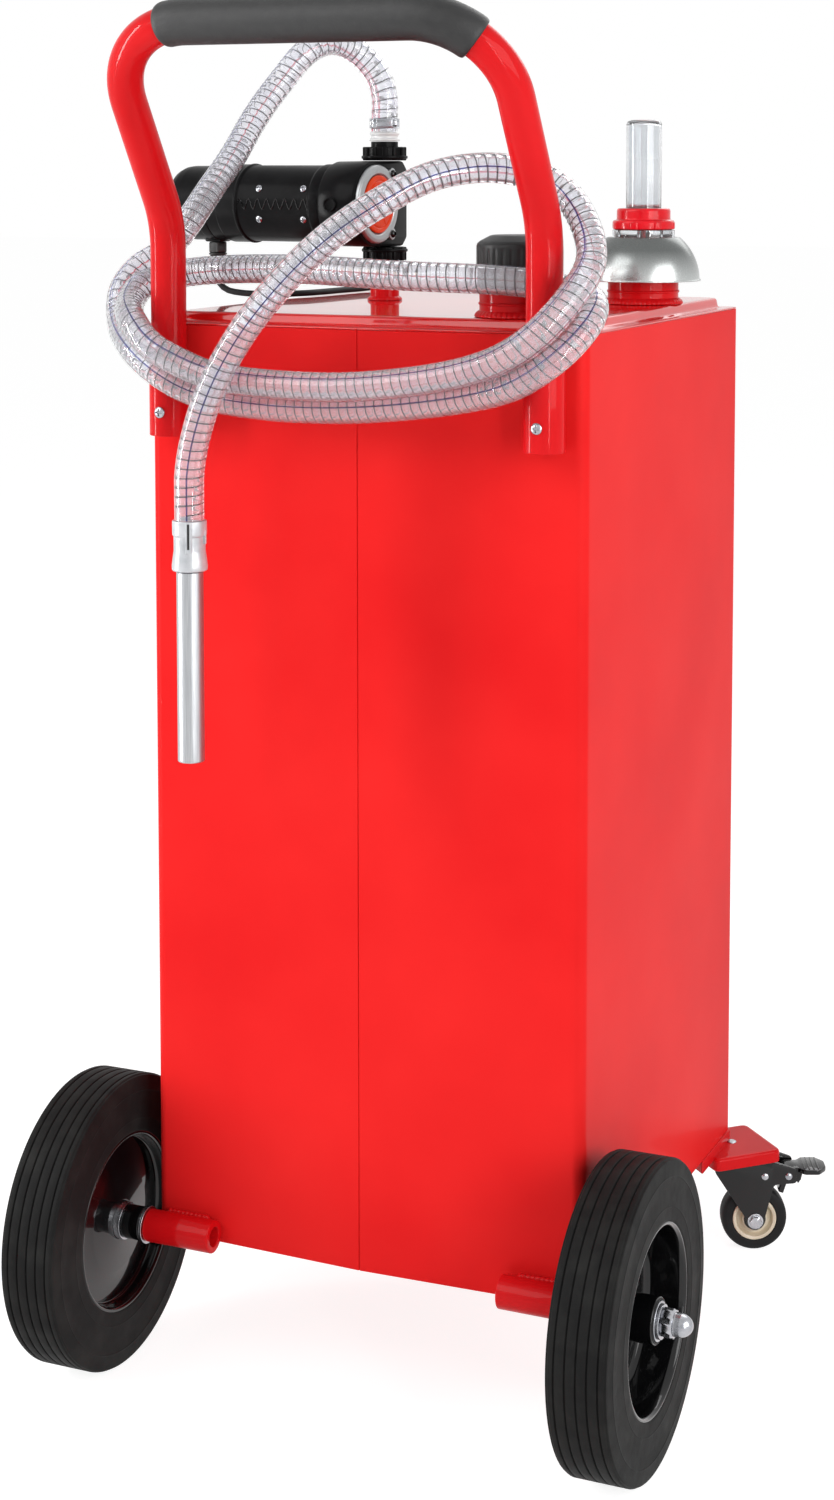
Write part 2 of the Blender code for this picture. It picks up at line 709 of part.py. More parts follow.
def make_gauge():
    x, y = GAUGE_XY
    base = (x, y, LID_TOP)
    seat = GAUGE_NECK_HEIGHT + FIT_GAP
    dome_top = DOME_RIM_LIFT + DOME_HEIGHT
    shoulder = dome_top - DOME_SHEET - FIT_GAP
    stem_top = dome_top + STEM_SHOW
    sight_top = stem_top + SIGHT_HEIGHT
    sight_bore = SIGHT_RADIUS - SIGHT_WALL
    guide_bottom = seat - GUIDE_DEPTH
    corner = (SIGHT_RADIUS - SIGHT_ROUND, sight_top - SIGHT_ROUND)
    profile = [
        (0, sight_top),
        *arc(corner, SIGHT_ROUND, math.pi / 2, 0, SIGHT_STEPS),
        (SIGHT_RADIUS, stem_top),
        (STEM_RADIUS, stem_top),
        (STEM_RADIUS, shoulder),
        (STEM_RADIUS + STEM_SHOULDER, shoulder),
        (STEM_RADIUS + STEM_SHOULDER, seat + STEM_FLANGE),
        (NECK_RADIUS, seat + STEM_FLANGE),
        (NECK_RADIUS, seat),
        (GUIDE_RADIUS, seat),
        (GUIDE_RADIUS, guide_bottom),
        (GUIDE_BORE, guide_bottom),
        (GUIDE_BORE, stem_top),
        (sight_bore, stem_top),
        (sight_bore, sight_top - SIGHT_ROUND),
        (0, sight_top - SIGHT_ROUND),
    ]
    body = turned("gauge_body", profile, UP, base, "clear_plastic", ROOT)
    pivot = (x, y, LID_TOP + guide_bottom - PIVOT_DROP)
    ear_side = ARM_HUB_WIDTH / 2 + RUN_GAP
    ear_top = EAR_OVERLAP + PIVOT_DROP
    ear_height = ear_top + EAR_WIDTH / 2
    ear_place = (x, y - ear_side - EAR_THICKNESS / 2, pivot[2] + ear_top - ear_height / 2)
    ear_size = (EAR_WIDTH, EAR_THICKNESS, ear_height)
    pin_length = ARM_HUB_WIDTH + EAR_THICKNESS
    pin_place = (x, y - EAR_THICKNESS / 2, pivot[2])
    joined(
        body,
        box("ear", ear_size, ear_place, "clear_plastic", ROOT),
        rod("pin", PIVOT_RADIUS, pin_length, (0, 1, 0), pin_place, "clear_plastic", ROOT, PIN_SIDES),
    )

    flat_top = [(STEM_RADIUS + FIT_GAP, dome_top), (DOME_FLAT, dome_top)]
    curved = [
        (DOME_FLAT + (DOME_RADIUS - DOME_FLAT) * out, DOME_RIM_LIFT + DOME_HEIGHT * rise)
        for rise, out in arc((0, 0), 1, 0, math.pi / 2, DOME_STEPS)[1:]
    ]
    inside = [
        (radius - DOME_SHEET, height - DOME_SHEET if index < DOME_STEPS else height)
        for index, (radius, height) in enumerate(curved, 1)
    ]
    dome = [
        *flat_top,
        *curved,
        *reversed(inside),
        (DOME_FLAT, dome_top - DOME_SHEET),
        (STEM_RADIUS + FIT_GAP, dome_top - DOME_SHEET),
    ]
    turned("gauge_dome", dome, UP, base, "satin_silver", ROOT)

    collar_bottom = stem_top + FIT_GAP
    collar = [
        (COLLAR_NECK_RADIUS, collar_bottom + COLLAR_HEIGHT),
        (COLLAR_NECK_RADIUS, collar_bottom + COLLAR_FLANGE),
        (COLLAR_RADIUS, collar_bottom + COLLAR_FLANGE),
        (COLLAR_RADIUS, collar_bottom),
        (SIGHT_RADIUS + FIT_GAP, collar_bottom),
        (SIGHT_RADIUS + FIT_GAP, collar_bottom + COLLAR_HEIGHT),
    ]
    turned("gauge_collar", collar, UP, base, "red_plastic", ROOT)

    disc_bottom = stem_top + FIT_GAP
    indicator = [
        (0, disc_bottom + INDICATOR_HEIGHT),
        (INDICATOR_RADIUS, disc_bottom + INDICATOR_HEIGHT),
        (INDICATOR_RADIUS, disc_bottom),
        (INDICATOR_ROD, disc_bottom),
        (INDICATOR_ROD, guide_bottom + OVERRUN),
        (0, guide_bottom + OVERRUN),
    ]
    turned("gauge_indicator", indicator, UP, base, "red_plastic", ROOT, SMALL_SIDES)
    make_float_arm(pivot)


def make_float_arm(pivot):
    along = Vector((-math.cos(ARM_DROOP), 0, -math.sin(ARM_DROOP)))
    place = Vector(pivot)
    reach = ARM_LENGTH - ARM_HUB_RADIUS + BLEND
    arm = rod("float_arm", ARM_HUB_RADIUS, ARM_HUB_WIDTH, (0, 1, 0), pivot, "satin_silver", ROOT)
    middle = place + along * (ARM_HUB_RADIUS - BLEND + reach / 2)
    end = place + along * ARM_LENGTH
    joined(
        arm,
        rod("arm", ARM_RADIUS, reach, along, middle, "satin_silver", ROOT, PIN_SIDES),
        rod("float", FLOAT_RADIUS, FLOAT_LENGTH, along, end, "satin_silver", ROOT),
    )
    bore(arm, PIVOT_RADIUS + RUN_GAP, 2 * ARM_HUB_WIDTH, (0, 1, 0), pivot, ROOT, PIN_SIDES)


def handle_side(side, foot):
    """Points up one leg from its foot to the start of the top bar."""
    x = side * HANDLE_HALF_SPAN
    tangent = ELBOW_RADIUS * math.tan(HANDLE_LEAN / 2)
    elbow = (HANDLE_Y - ELBOW_RADIUS, HANDLE_ELBOW_HEIGHT - tangent)
    points = [(x, HANDLE_Y, foot)]
    points += [(x, y, z) for y, z in arc(elbow, ELBOW_RADIUS, 0, HANDLE_LEAN, ELBOW_STEPS)]
    lean = Vector((0, -math.sin(HANDLE_LEAN), math.cos(HANDLE_LEAN)))
    reach = (HANDLE_HEIGHT - HANDLE_ELBOW_HEIGHT) / math.cos(HANDLE_LEAN) - CORNER_RADIUS
    start = Vector((x - side * CORNER_RADIUS, HANDLE_Y, HANDLE_ELBOW_HEIGHT)) + lean * reach
    for across, rise in arc((0, 0), CORNER_RADIUS, 0, math.pi / 2, CORNER_TURN_STEPS):
        points.append(tuple(start + lean * rise + Vector((side * across, 0, 0))))
    return points


def make_handle():
    foot = SOCKET_BOTTOM + HANDLE_FOOT_LIFT
    left, right = handle_side(-1, foot), handle_side(1, foot)[::-1]
    handle = settled(
        swept("handle", left + right, TUBE_RADIUS, "red_paint", ROOT, TUBE_RESOLUTION)
    )
    below = handle_side(-1, foot - OVERRUN) + handle_side(1, foot - OVERRUN)[::-1]
    hollow = TUBE_RADIUS - TUBE_WALL
    cut(handle, settled(swept("hollow", below, hollow, "red_paint", ROOT, TUBE_RESOLUTION)))

    held = left[-GRIP_LEFT_STEPS - 1 :] + right[: GRIP_RIGHT_STEPS + 1]
    grip = settled(swept("grip", held, GRIP_RADIUS, "black_foam", ROOT, TUBE_RESOLUTION))
    inside = TUBE_RADIUS + GRIP_GAP
    cut(grip, settled(swept("inside", below, inside, "red_paint", ROOT, TUBE_RESOLUTION)))

    for side, name in ((-1, "left"), (1, "right")):
        x = side * HANDLE_HALF_SPAN
        base = (x, HANDLE_Y, SOCKET_BOTTOM)
        profile = ring_profile(SOCKET_RADIUS, TUBE_RADIUS + FIT_GAP, SOCKET_HEIGHT, 0)
        socket = turned("handle_socket_" + name, profile, UP, base, "red_paint", ROOT)
        height = SOCKET_BOTTOM + SCREW_LIFT
        hole = (x, HANDLE_Y - TUBE_RADIUS, height)
        for piece in (socket, handle):
            bore(piece, SCREW_RADIUS + FIT_GAP, TUBE_RADIUS, (0, -1, 0), hole, ROOT, PIN_SIDES)
        screw = [
            (0, SCREW_HEAD_HEIGHT),
            (SCREW_HEAD_RADIUS, SCREW_HEAD_HEIGHT),
            (SCREW_HEAD_RADIUS, 0),
            (SCREW_RADIUS, 0),
            (SCREW_RADIUS, -SCREW_LENGTH),
            (0, -SCREW_LENGTH),
        ]
        seat = (x, HANDLE_Y - SOCKET_RADIUS - FIT_GAP, height)
        turned("handle_screw_" + name, screw, (0, -1, 0), seat, "bright_steel", ROOT, PIN_SIDES)


def make_wheel(side, name):
    """A wheel, its bearing and the stub that it turns on; heights run outwards from x = 0."""
    out = (side, 0, 0)
    axle = (0, AXLE_Y, WHEEL_RADIUS)
    tube = ring_profile(AXLE_TUBE_RADIUS, STUD_RADIUS + FIT_GAP, AXLE_TUBE_OUTER, AXLE_TUBE_INNER)
    turned("axle_tube_" + name, tube, out, axle, "red_paint", ROOT, SMALL_SIDES)

    bearing_start = TYRE_INNER_FACE + BEARING_INSET
    bearing_end = TYRE_INNER_FACE + TYRE_WIDTH + BEARING_PROUD
    washer_start = AXLE_TUBE_OUTER + FIT_GAP
    spacer = [
        (SPACER_RADIUS, bearing_start - RUN_GAP),
        (SPACER_RADIUS, washer_start + SPACER_WASHER),
        (SPACER_WASHER_RADIUS, washer_start + SPACER_WASHER),
        (SPACER_WASHER_RADIUS, washer_start),
        (STUD_RADIUS + FIT_GAP, washer_start),
        (STUD_RADIUS + FIT_GAP, bearing_start - RUN_GAP),
    ]
    turned("wheel_spacer_" + name, spacer, out, axle, "black_enamel", ROOT, SMALL_SIDES)

    middle = TYRE_INNER_FACE + TYRE_WIDTH / 2
    centre = (side * middle, AXLE_Y, WHEEL_RADIUS)
    half = TYRE_WIDTH / 2
    seat = half - TYRE_SHOULDER
    tyre = [
        (WHEEL_RADIUS - TYRE_SHOULDER, half),
        (WHEEL_RADIUS, seat),
        (WHEEL_RADIUS, -seat),
        (WHEEL_RADIUS - TYRE_SHOULDER, -half),
        (TYRE_BORE + TYRE_SHOULDER, -half),
        (TYRE_BORE, -seat),
        (TYRE_BORE, seat),
        (TYRE_BORE + TYRE_SHOULDER, half),
    ]
    turned("wheel_tyre_" + name, tyre, out, centre, "tyre_rubber", ROOT, WHEEL_SIDES)

    rim_radius = TYRE_BORE - FIT_GAP
    drop = rim_radius - RIM_WALL
    hub_bore = BEARING_RADIUS + FIT_GAP
    hub = hub_bore + HUB_WALL
    web_in = RIM_WEB_INSET - seat
    web_out = web_in + RIM_WEB
    rim = [
        (rim_radius, seat),
        (rim_radius, -seat),
        (drop, -seat),
        (drop, web_in),
        (hub, web_in - RIM_DISH),
        (hub_bore, web_in - RIM_DISH),
        (hub_bore, half),
        (hub, half),
        (hub, web_out - RIM_DISH),
        (drop, web_out),
        (drop, seat),
    ]
    turned("wheel_rim_" + name, rim, out, centre, "black_enamel", ROOT, WHEEL_SIDES)

    bearing = ring_profile(
        BEARING_RADIUS, STUD_RADIUS + RUN_GAP, bearing_end - middle, bearing_start - middle
    )
    turned("wheel_bearing_" + name, bearing, out, centre, "bright_steel", ROOT, SMALL_SIDES)

    washer = bearing_end + RUN_GAP
    nut = washer + NUT_WASHER
    acorn = nut + NUT_HEIGHT
    dome = [
        (ACORN_RADIUS * out_share, acorn + ACORN_HEIGHT * rise_share)
        for rise_share, out_share in arc((0, 0), 1, 0, math.pi / 2, ACORN_STEPS)
    ]
    stud = [
        *dome,
        (ACORN_RADIUS, nut),
        (NUT_WASHER_RADIUS, nut),
        (NUT_WASHER_RADIUS, washer),
        (STUD_RADIUS, washer),
        (STUD_RADIUS, STUD_ROOT),
        (0, STUD_ROOT),
    ]
    stud_obj = turned("axle_stud_" + name, stud, out, axle, "bright_steel", ROOT, SMALL_SIDES)
    nut_place = (side * (nut + (NUT_HEIGHT - BLEND) / 2), AXLE_Y, WHEEL_RADIUS)
    hexagon = rod(
        "nut", NUT_RADIUS, NUT_HEIGHT + BLEND, out, nut_place, "bright_steel", ROOT, HEX_SIDES
    )
    joined(stud_obj, hexagon)


def make_bracket(side, name):
    x, y = side * CASTER_XY[0], CASTER_XY[1]
    bm = bmesh.new()
    outline = rounded_outline(BRACKET_SIDE, BRACKET_SIDE, (0, 0), BRACKET_CORNER)
    rim = ring(bm, outline, BRACKET_TOP - BRACKET_RIM)
    top = ring(bm, outline, BRACKET_TOP)
    bridge(bm, rim, top)
    bm.faces.new(top)
    stand = Matrix.Translation((x, y, 0)) @ Matrix.Rotation(BRACKET_TURN, 4, "Z")
    pan = enter_solid("caster_bracket_" + name, bm, "red_paint", ROOT, stand)
    thickened(pan, BRACKET_SHEET)
    corner_x = side * TANK_WIDTH / 2
    triangle = [
        (corner_x, TANK_DEPTH),
        (corner_x, TANK_DEPTH - RISER_LEG),
        (corner_x - side * RISER_LEG, TANK_DEPTH),
    ]
    low, high = BRACKET_TOP - BRACKET_SHEET / 2, TANK_BOTTOM - FIT_GAP
    level = Matrix.Translation((0, 0, (low + high) / 2))
    joined(pan, plate("riser", triangle, high - low, "red_paint", ROOT, level))
    bore(pan, KINGPIN_RADIUS + FIT_GAP, 2 * TANK_BOTTOM, UP, (x, y, TANK_BOTTOM), ROOT)


def make_caster(side, name):
    make_bracket(side, name)
    x, y = side * CASTER_XY[0], CASTER_XY[1]
    plate_top = BRACKET_TOP - BRACKET_SHEET - FIT_GAP
    race_top = plate_top - PLATE_THICKNESS - RUN_GAP
    crown_top = BRACKET_TOP - BRACKET_RIM - CROWN_DROP
    crown_bottom = crown_top - CROWN_THICKNESS
    head_top = crown_bottom - RUN_GAP
    pin_top = BRACKET_TOP + KINGPIN_SHOW
    size = (PLATE_SIDE, PLATE_SIDE, PLATE_THICKNESS)
    turn = Matrix.Rotation(BRACKET_TURN, 4, "Z")
    place = (x, y, plate_top - PLATE_THICKNESS / 2)
    mount = box("caster_plate_" + name, size, place, "bright_steel", ROOT, turn)
    pin = [
        (0, pin_top),
        (KINGPIN_RADIUS, pin_top),
        (KINGPIN_RADIUS, head_top),
        (KINGPIN_HEAD_RADIUS, head_top),
        (KINGPIN_HEAD_RADIUS, head_top - KINGPIN_HEAD),
        (0, head_top - KINGPIN_HEAD),
    ]
    joined(mount, turned("pin", pin, UP, (x, y, 0), "bright_steel", ROOT, SMALL_SIDES))

    swivel = empty("swivel_" + name, ROOT, (x, y, 0), CASTER_HEADINGS[side])
    make_fork(swivel, name, race_top, crown_top, crown_bottom)
    make_caster_wheel(swivel, name)
    make_brake(swivel, name)


def make_fork(swivel, name, race_top, crown_top, crown_bottom):
    finish = "black_enamel"
    race_bottom = crown_top - BLEND
    race_place = (0, 0, (race_top + race_bottom) / 2)
    fork = rod(
        "caster_fork_" + name, RACE_RADIUS, race_top - race_bottom, UP, race_place, finish, swivel
    )
    width = FORK_GAP + 2 * FORK_SHEET - BLEND
    length = FORK_BACK + FORK_SHOULDER - BLEND
    crown_place = ((FORK_SHOULDER - FORK_BACK) / 2, 0, (crown_top + crown_bottom) / 2)
    crown = box("crown", (length, width, CROWN_THICKNESS), crown_place, finish, swivel)

    pivot_x, pivot_z = BRAKE_PIVOT
    leg_top = crown_top - BLEND
    nose_top = pivot_z + FORK_NOSE_HEIGHT / 2
    nose_bottom = pivot_z - FORK_NOSE_HEIGHT / 2
    toe = arc((CASTER_TRAIL, CASTER_RADIUS), FORK_TOE, 0, -math.pi, FORK_TOE_STEPS)
    outline = [
        (-FORK_BACK, leg_top),
        (FORK_SHOULDER, leg_top),
        (FORK_NOSE, nose_top),
        (FORK_NOSE, nose_bottom),
        (FORK_SHOULDER, nose_bottom),
        *toe,
        (-FORK_BACK, crown_bottom - FORK_TOE),
    ]
    legs = []
    for hand in (-1, 1):
        middle = hand * (FORK_GAP + FORK_SHEET) / 2
        stand = Matrix.Translation((0, middle, 0)) @ Matrix.Rotation(math.pi / 2, 4, "X")
        legs.append(plate("leg", outline, FORK_SHEET, finish, swivel, stand))

    across = (0, 1, 0)
    outside = FORK_GAP + 2 * FORK_SHEET
    bolt_place = (CASTER_TRAIL, 0, CASTER_RADIUS)
    bolt = rod("bolt", CASTER_BOLT_RADIUS, outside, across, bolt_place, finish, swivel, PIN_SIDES)
    pin_place = (pivot_x, 0, pivot_z)
    pin = rod("pin", BRAKE_PIN_RADIUS, outside, across, pin_place, finish, swivel, PIN_SIDES)
    nuts = []
    for hand in (-1, 1):
        nut_place = (CASTER_TRAIL, hand * (outside + CASTER_NUT - BLEND) / 2, CASTER_RADIUS)
        nut_size = (CASTER_NUT_RADIUS, CASTER_NUT + BLEND)
        nuts.append(rod("nut", *nut_size, across, nut_place, finish, swivel, HEX_SIDES))
    joined(fork, crown, *legs, bolt, pin, *nuts)
    hole_place = (0, 0, (race_top + crown_bottom) / 2)
    bore(fork, KINGPIN_RADIUS + RUN_GAP, 2 * OVERRUN, UP, hole_place, swivel)


def make_caster_wheel(swivel, name):
    across = (0, 1, 0)
    centre = (CASTER_TRAIL, 0, CASTER_RADIUS)
    half = CASTER_TYRE_WIDTH / 2
    tyre_bore = CASTER_HUB_RADIUS + FIT_GAP
    tyre = [
        (CASTER_RADIUS - CASTER_SHOULDER, half),
        (CASTER_RADIUS, half - CASTER_SHOULDER),
        (CASTER_RADIUS, CASTER_SHOULDER - half),
        (CASTER_RADIUS - CASTER_SHOULDER, -half),
        (tyre_bore, -half),
        (tyre_bore, half),
    ]
    turned("caster_tyre_" + name, tyre, across, centre, "black_rubber", swivel)

    boss = CASTER_HUB_WIDTH / 2
    inner = CASTER_HUB_RADIUS - CASTER_HUB_WALL
    hub_bore = CASTER_BOLT_RADIUS + RUN_GAP
    web = CASTER_WEB / 2
    hub = [
        (CASTER_HUB_RADIUS, half),
        (CASTER_HUB_RADIUS, -half),
        (inner, -half),
        (CASTER_BOSS_RADIUS, -web),
        (hub_bore, -boss),
        (hub_bore, boss),
        (CASTER_BOSS_RADIUS, web),
        (inner, half),
    ]
    turned("caster_hub_" + name, hub, across, centre, "cream_plastic", swivel)


def make_brake(swivel, name):
    across = (0, 1, 0)
    x, z = BRAKE_PIVOT
    pivot = (x, 0, z)
    finish = "black_enamel"
    lever = rod(
        "brake_lever_" + name, BRAKE_BOSS_RADIUS, BRAKE_WIDTH, across, pivot, finish, swivel
    )
    level = z + BRAKE_PAD_LIFT
    arm_end = BRAKE_PAD_START + BLEND
    arm_size = (arm_end - x, BRAKE_WIDTH - BLEND, BRAKE_PAD_THICKNESS - BLEND)
    arm = box("arm", arm_size, ((arm_end + x) / 2, 0, level), finish, swivel)
    pad_size = (BRAKE_REACH - BRAKE_PAD_START, BRAKE_PAD_WIDTH, BRAKE_PAD_THICKNESS)
    pad_place = ((BRAKE_REACH + BRAKE_PAD_START) / 2, 0, level)
    pad = box("pad", pad_size, pad_place, finish, swivel)
    pin_clear = (BRAKE_BOSS_RADIUS + BRAKE_PIN_RADIUS) / 2
    reach = BRAKE_SHOE_REACH - pin_clear
    along = pin_clear + reach / 2
    aim = Vector((math.cos(BRAKE_SHOE_ANGLE), 0, math.sin(BRAKE_SHOE_ANGLE)))
    shoe_turn = Matrix.Rotation(-BRAKE_SHOE_ANGLE, 4, "Y")
    shoe_size = (reach, BRAKE_SHOE_WIDTH, BRAKE_SHOE_THICKNESS)
    shoe = box("shoe", shoe_size, Vector(pivot) + aim * along, finish, swivel, shoe_turn)
    joined(lever, arm, pad, shoe)
    bore(lever, BRAKE_PIN_RADIUS + RUN_GAP, 2 * BRAKE_WIDTH, across, pivot, swivel, PIN_SIDES)


def make_pump():
    pump = empty("pump", ROOT, (*PUMP_XY, 0), PUMP_YAW)
    axis = (1, 0, 0)
    motor = (0, -PUMP_OFFSET, PUMP_AXIS)
    casting = "black_casting"

    length = HEAD_FACE + HEAD_BACK
    middle = (HEAD_FACE - HEAD_BACK) / 2
    head_place = (middle, -PUMP_OFFSET, PUMP_AXIS)
    head = rod("pump_head", HEAD_RADIUS, length, axis, head_place, casting, pump, ROUND_SIDES)
    block_size = (
        HEAD_FACE + HEAD_BLOCK_BACK - BLEND,
        HEAD_PORT_SIDE + PUMP_OFFSET,
        2 * HEAD_HALF_HEIGHT,
    )
    block_place = (
        (HEAD_FACE - BLEND - HEAD_BLOCK_BACK) / 2,
        (HEAD_PORT_SIDE - PUMP_OFFSET) / 2,
        PUMP_AXIS,
    )
    joined(head, box("block", block_size, block_place, casting, pump))
    chamber = (HEAD_FACE - CHAMBER_DEPTH + (CHAMBER_DEPTH + OVERRUN) / 2, -PUMP_OFFSET, PUMP_AXIS)
    bore(head, CHAMBER_RADIUS, CHAMBER_DEPTH + OVERRUN, axis, chamber, pump, ROUND_SIDES)
    bore(head, SHAFT_RADIUS + RUN_GAP, 2 * HEAD_BACK, axis, (-HEAD_BACK, *motor[1:]), pump)
    bore(head, PORT_BORE, 2 * HEAD_HALF_HEIGHT + OVERRUN, UP, (0, 0, PUMP_AXIS), pump)

    cover_seat = HEAD_FACE + FIT_GAP
    cover_face = cover_seat + COVER_THICKNESS
    cover = [
        (0, cover_face + COVER_PAD_RISE),
        (COVER_PAD_RADIUS, cover_face + COVER_PAD_RISE),
        (COVER_PAD_RADIUS, cover_face),
        (COVER_RADIUS, cover_face),
        (COVER_RADIUS, cover_seat),
        (0, cover_seat),
    ]
    turned("pump_cover", cover, axis, motor, "satin_silver", pump)

    lip_top = MOTOR_START - MOTOR_LENGTH + MOTOR_LIP_FROM_TAIL + MOTOR_LIP_WIDTH
    inside = MOTOR_RADIUS - MOTOR_WALL
    case = [
        (MOTOR_RADIUS, MOTOR_START),
        (MOTOR_RADIUS, lip_top),
        (MOTOR_RADIUS + MOTOR_LIP_RISE, lip_top),
        (MOTOR_RADIUS + MOTOR_LIP_RISE, lip_top - MOTOR_LIP_WIDTH),
        (MOTOR_RADIUS, lip_top - MOTOR_LIP_WIDTH),
        (MOTOR_RADIUS, MOTOR_START - MOTOR_LENGTH),
        (inside, MOTOR_START - MOTOR_LENGTH),
        (inside, MOTOR_START),
    ]
    turned("motor_case", case, axis, motor, casting, pump)

    corner = (TAIL_RADIUS - TAIL_ROUND, TAIL_LENGTH - TAIL_ROUND)
    cup = [
        (0, TAIL_LENGTH),
        *arc(corner, TAIL_ROUND, math.pi / 2, 0, TAIL_STEPS),
        (TAIL_RADIUS, 0),
        (TAIL_RADIUS - TAIL_WALL, 0),
        (TAIL_RADIUS - TAIL_WALL, TAIL_LENGTH - TAIL_ROUND),
        (TAIL_RADIUS - TAIL_ROUND, TAIL_LENGTH - TAIL_WALL),
        (0, TAIL_LENGTH - TAIL_WALL),
    ]
    tail_base = (TAIL_START, *motor[1:])
    tail = turned("motor_end_cap", cup, (-1, 0, 0), tail_base, casting, pump)
    boss_top = PUMP_AXIS - TAIL_RADIUS + TAIL_WALL - BLEND
    boss_bottom = PUMP_AXIS - TAIL_RADIUS - GLAND_BOSS_DROP
    boss_place = (-GLAND_OFFSET - BLEND, -PUMP_OFFSET, (boss_top + boss_bottom) / 2)
    boss_size = (GLAND_BOSS - 3 * BLEND, GLAND_BOSS, boss_top - boss_bottom)
    joined(tail, box("boss", boss_size, boss_place, casting, pump))

    gland = [
        (0, GLAND_TOP),
        (GLAND_RADIUS, GLAND_TOP),
        (GLAND_RADIUS, GLAND_TOP - GLAND_BODY),
        (GLAND_NUT_RADIUS, GLAND_TOP - GLAND_BODY),
        (GLAND_NUT_RADIUS, GLAND_BOTTOM),
        (0, GLAND_BOTTOM),
    ]
    gland_base = (-GLAND_OFFSET, -PUMP_OFFSET, 0)
    turned("cable_gland", gland, UP, gland_base, "black_plastic", pump, SMALL_SIDES)

    rotor_face = HEAD_FACE - 2 * RUN_GAP
    rotor_back = HEAD_FACE - CHAMBER_DEPTH + 2 * RUN_GAP
    armature = MOTOR_START - ARMATURE_FROM_HEAD
    rotor = [
        (0, rotor_face),
        (ROTOR_RADIUS, rotor_face),
        (ROTOR_RADIUS, rotor_back),
        (SHAFT_RADIUS, rotor_back),
        (SHAFT_RADIUS, armature),
        (ARMATURE_RADIUS, armature),
        (ARMATURE_RADIUS, armature - ARMATURE_LENGTH),
        (SHAFT_RADIUS, armature - ARMATURE_LENGTH),
        (SHAFT_RADIUS, armature - ARMATURE_LENGTH - SHAFT_TAIL),
        (0, armature - ARMATURE_LENGTH - SHAFT_TAIL),
    ]
    turned("pump_rotor", rotor, axis, motor, "bright_steel", pump, SMALL_SIDES)
    make_pump_ports(pump)


def make_pump_ports(pump):
    port = (0, 0, 0)
    flange_bore = PICKUP_FLANGE_RADIUS + FIT_GAP
    adapter_top = ADAPTER_BOTTOM + ADAPTER_HEIGHT
    ledge = adapter_top - PICKUP_FLANGE - FIT_GAP
    adapter = [
        (ADAPTER_RADIUS, adapter_top),
        (ADAPTER_RADIUS, ADAPTER_BOTTOM),
        (PICKUP_RADIUS + FIT_GAP, ADAPTER_BOTTOM),
        (PICKUP_RADIUS + FIT_GAP, ledge),
        (flange_bore, ledge),
        (flange_bore, adapter_top),
    ]
    turned("bung_adapter", adapter, UP, port, "brass", pump)

    inside = PICKUP_RADIUS - PICKUP_WALL
    bell_bottom = TANK_BOTTOM + SHEET + PICKUP_FLOOR_GAP
    bell_top = bell_bottom + STRAINER_HEIGHT
    pickup = [
        (PICKUP_FLANGE_RADIUS, adapter_top),
        (PICKUP_FLANGE_RADIUS, adapter_top - PICKUP_FLANGE),
        (PICKUP_RADIUS, adapter_top - PICKUP_FLANGE),
        (PICKUP_RADIUS, bell_top),
        (STRAINER_RADIUS, bell_top),
        (STRAINER_RADIUS, bell_bottom),
        (STRAINER_RADIUS - STRAINER_WALL, bell_bottom),
        (STRAINER_RADIUS - STRAINER_WALL, bell_top - STRAINER_WALL),
        (inside, bell_top - STRAINER_WALL),
        (inside, adapter_top),
    ]
    turned("suction_tube", pickup, UP, port, "satin_silver", pump, SMALL_SIDES)

    middle = (0, 0, INLET_BOTTOM + UNION_HEIGHT / 2)
    casting = "black_casting"
    inlet = rod("inlet_union", UNION_RADIUS, UNION_HEIGHT, UP, middle, casting, pump, HEX_SIDES)
    bore(inlet, UNION_BORE, 2 * UNION_HEIGHT, UP, middle, pump)

    middle = (0, 0, OUTLET_BOTTOM + UNION_HEIGHT / 2)
    outlet = rod("outlet_union", UNION_RADIUS, UNION_HEIGHT, UP, middle, casting, pump, HEX_SIDES)
    neck_top = OUTLET_BOTTOM + UNION_HEIGHT + UNION_NECK
    neck = disc_profile(UNION_NECK_RADIUS, neck_top, OUTLET_BOTTOM + UNION_HEIGHT / 2)
    joined(outlet, turned("neck", neck, UP, port, casting, pump, SMALL_SIDES))
    bore(outlet, UNION_BORE, 4 * UNION_HEIGHT, UP, middle, pump)

    tailpiece = ring_profile(
        TAILPIECE_RADIUS, UNION_BORE, TAILPIECE_BOTTOM + TAILPIECE_HEIGHT, TAILPIECE_BOTTOM
    )
    turned("hose_tailpiece", tailpiece, UP, port, "white_plastic", pump)

    clamp_bottom = HOSE_START + CLAMP_LIFT
    clamp_bore = HOSE_RADIUS + FIT_GAP
    band = ring_profile(
        clamp_bore + CLAMP_WALL, clamp_bore, clamp_bottom + CLAMP_WIDTH, clamp_bottom
    )
    clamp = turned("hose_clamp", band, UP, (*PUMP_XY, 0), "bright_steel", ROOT)
    out = clamp_bore + CLAMP_WALL / 2 + CLAMP_HOUSING[1] / 2
    turn = Matrix.Rotation(CLAMP_FACING, 4, "Z")
    side = turn @ Vector((0, -out, 0))
    place = (PUMP_XY[0] + side.x, PUMP_XY[1] + side.y, clamp_bottom + CLAMP_WIDTH / 2)
    joined(clamp, box("housing", CLAMP_HOUSING, place, "bright_steel", ROOT, turn))


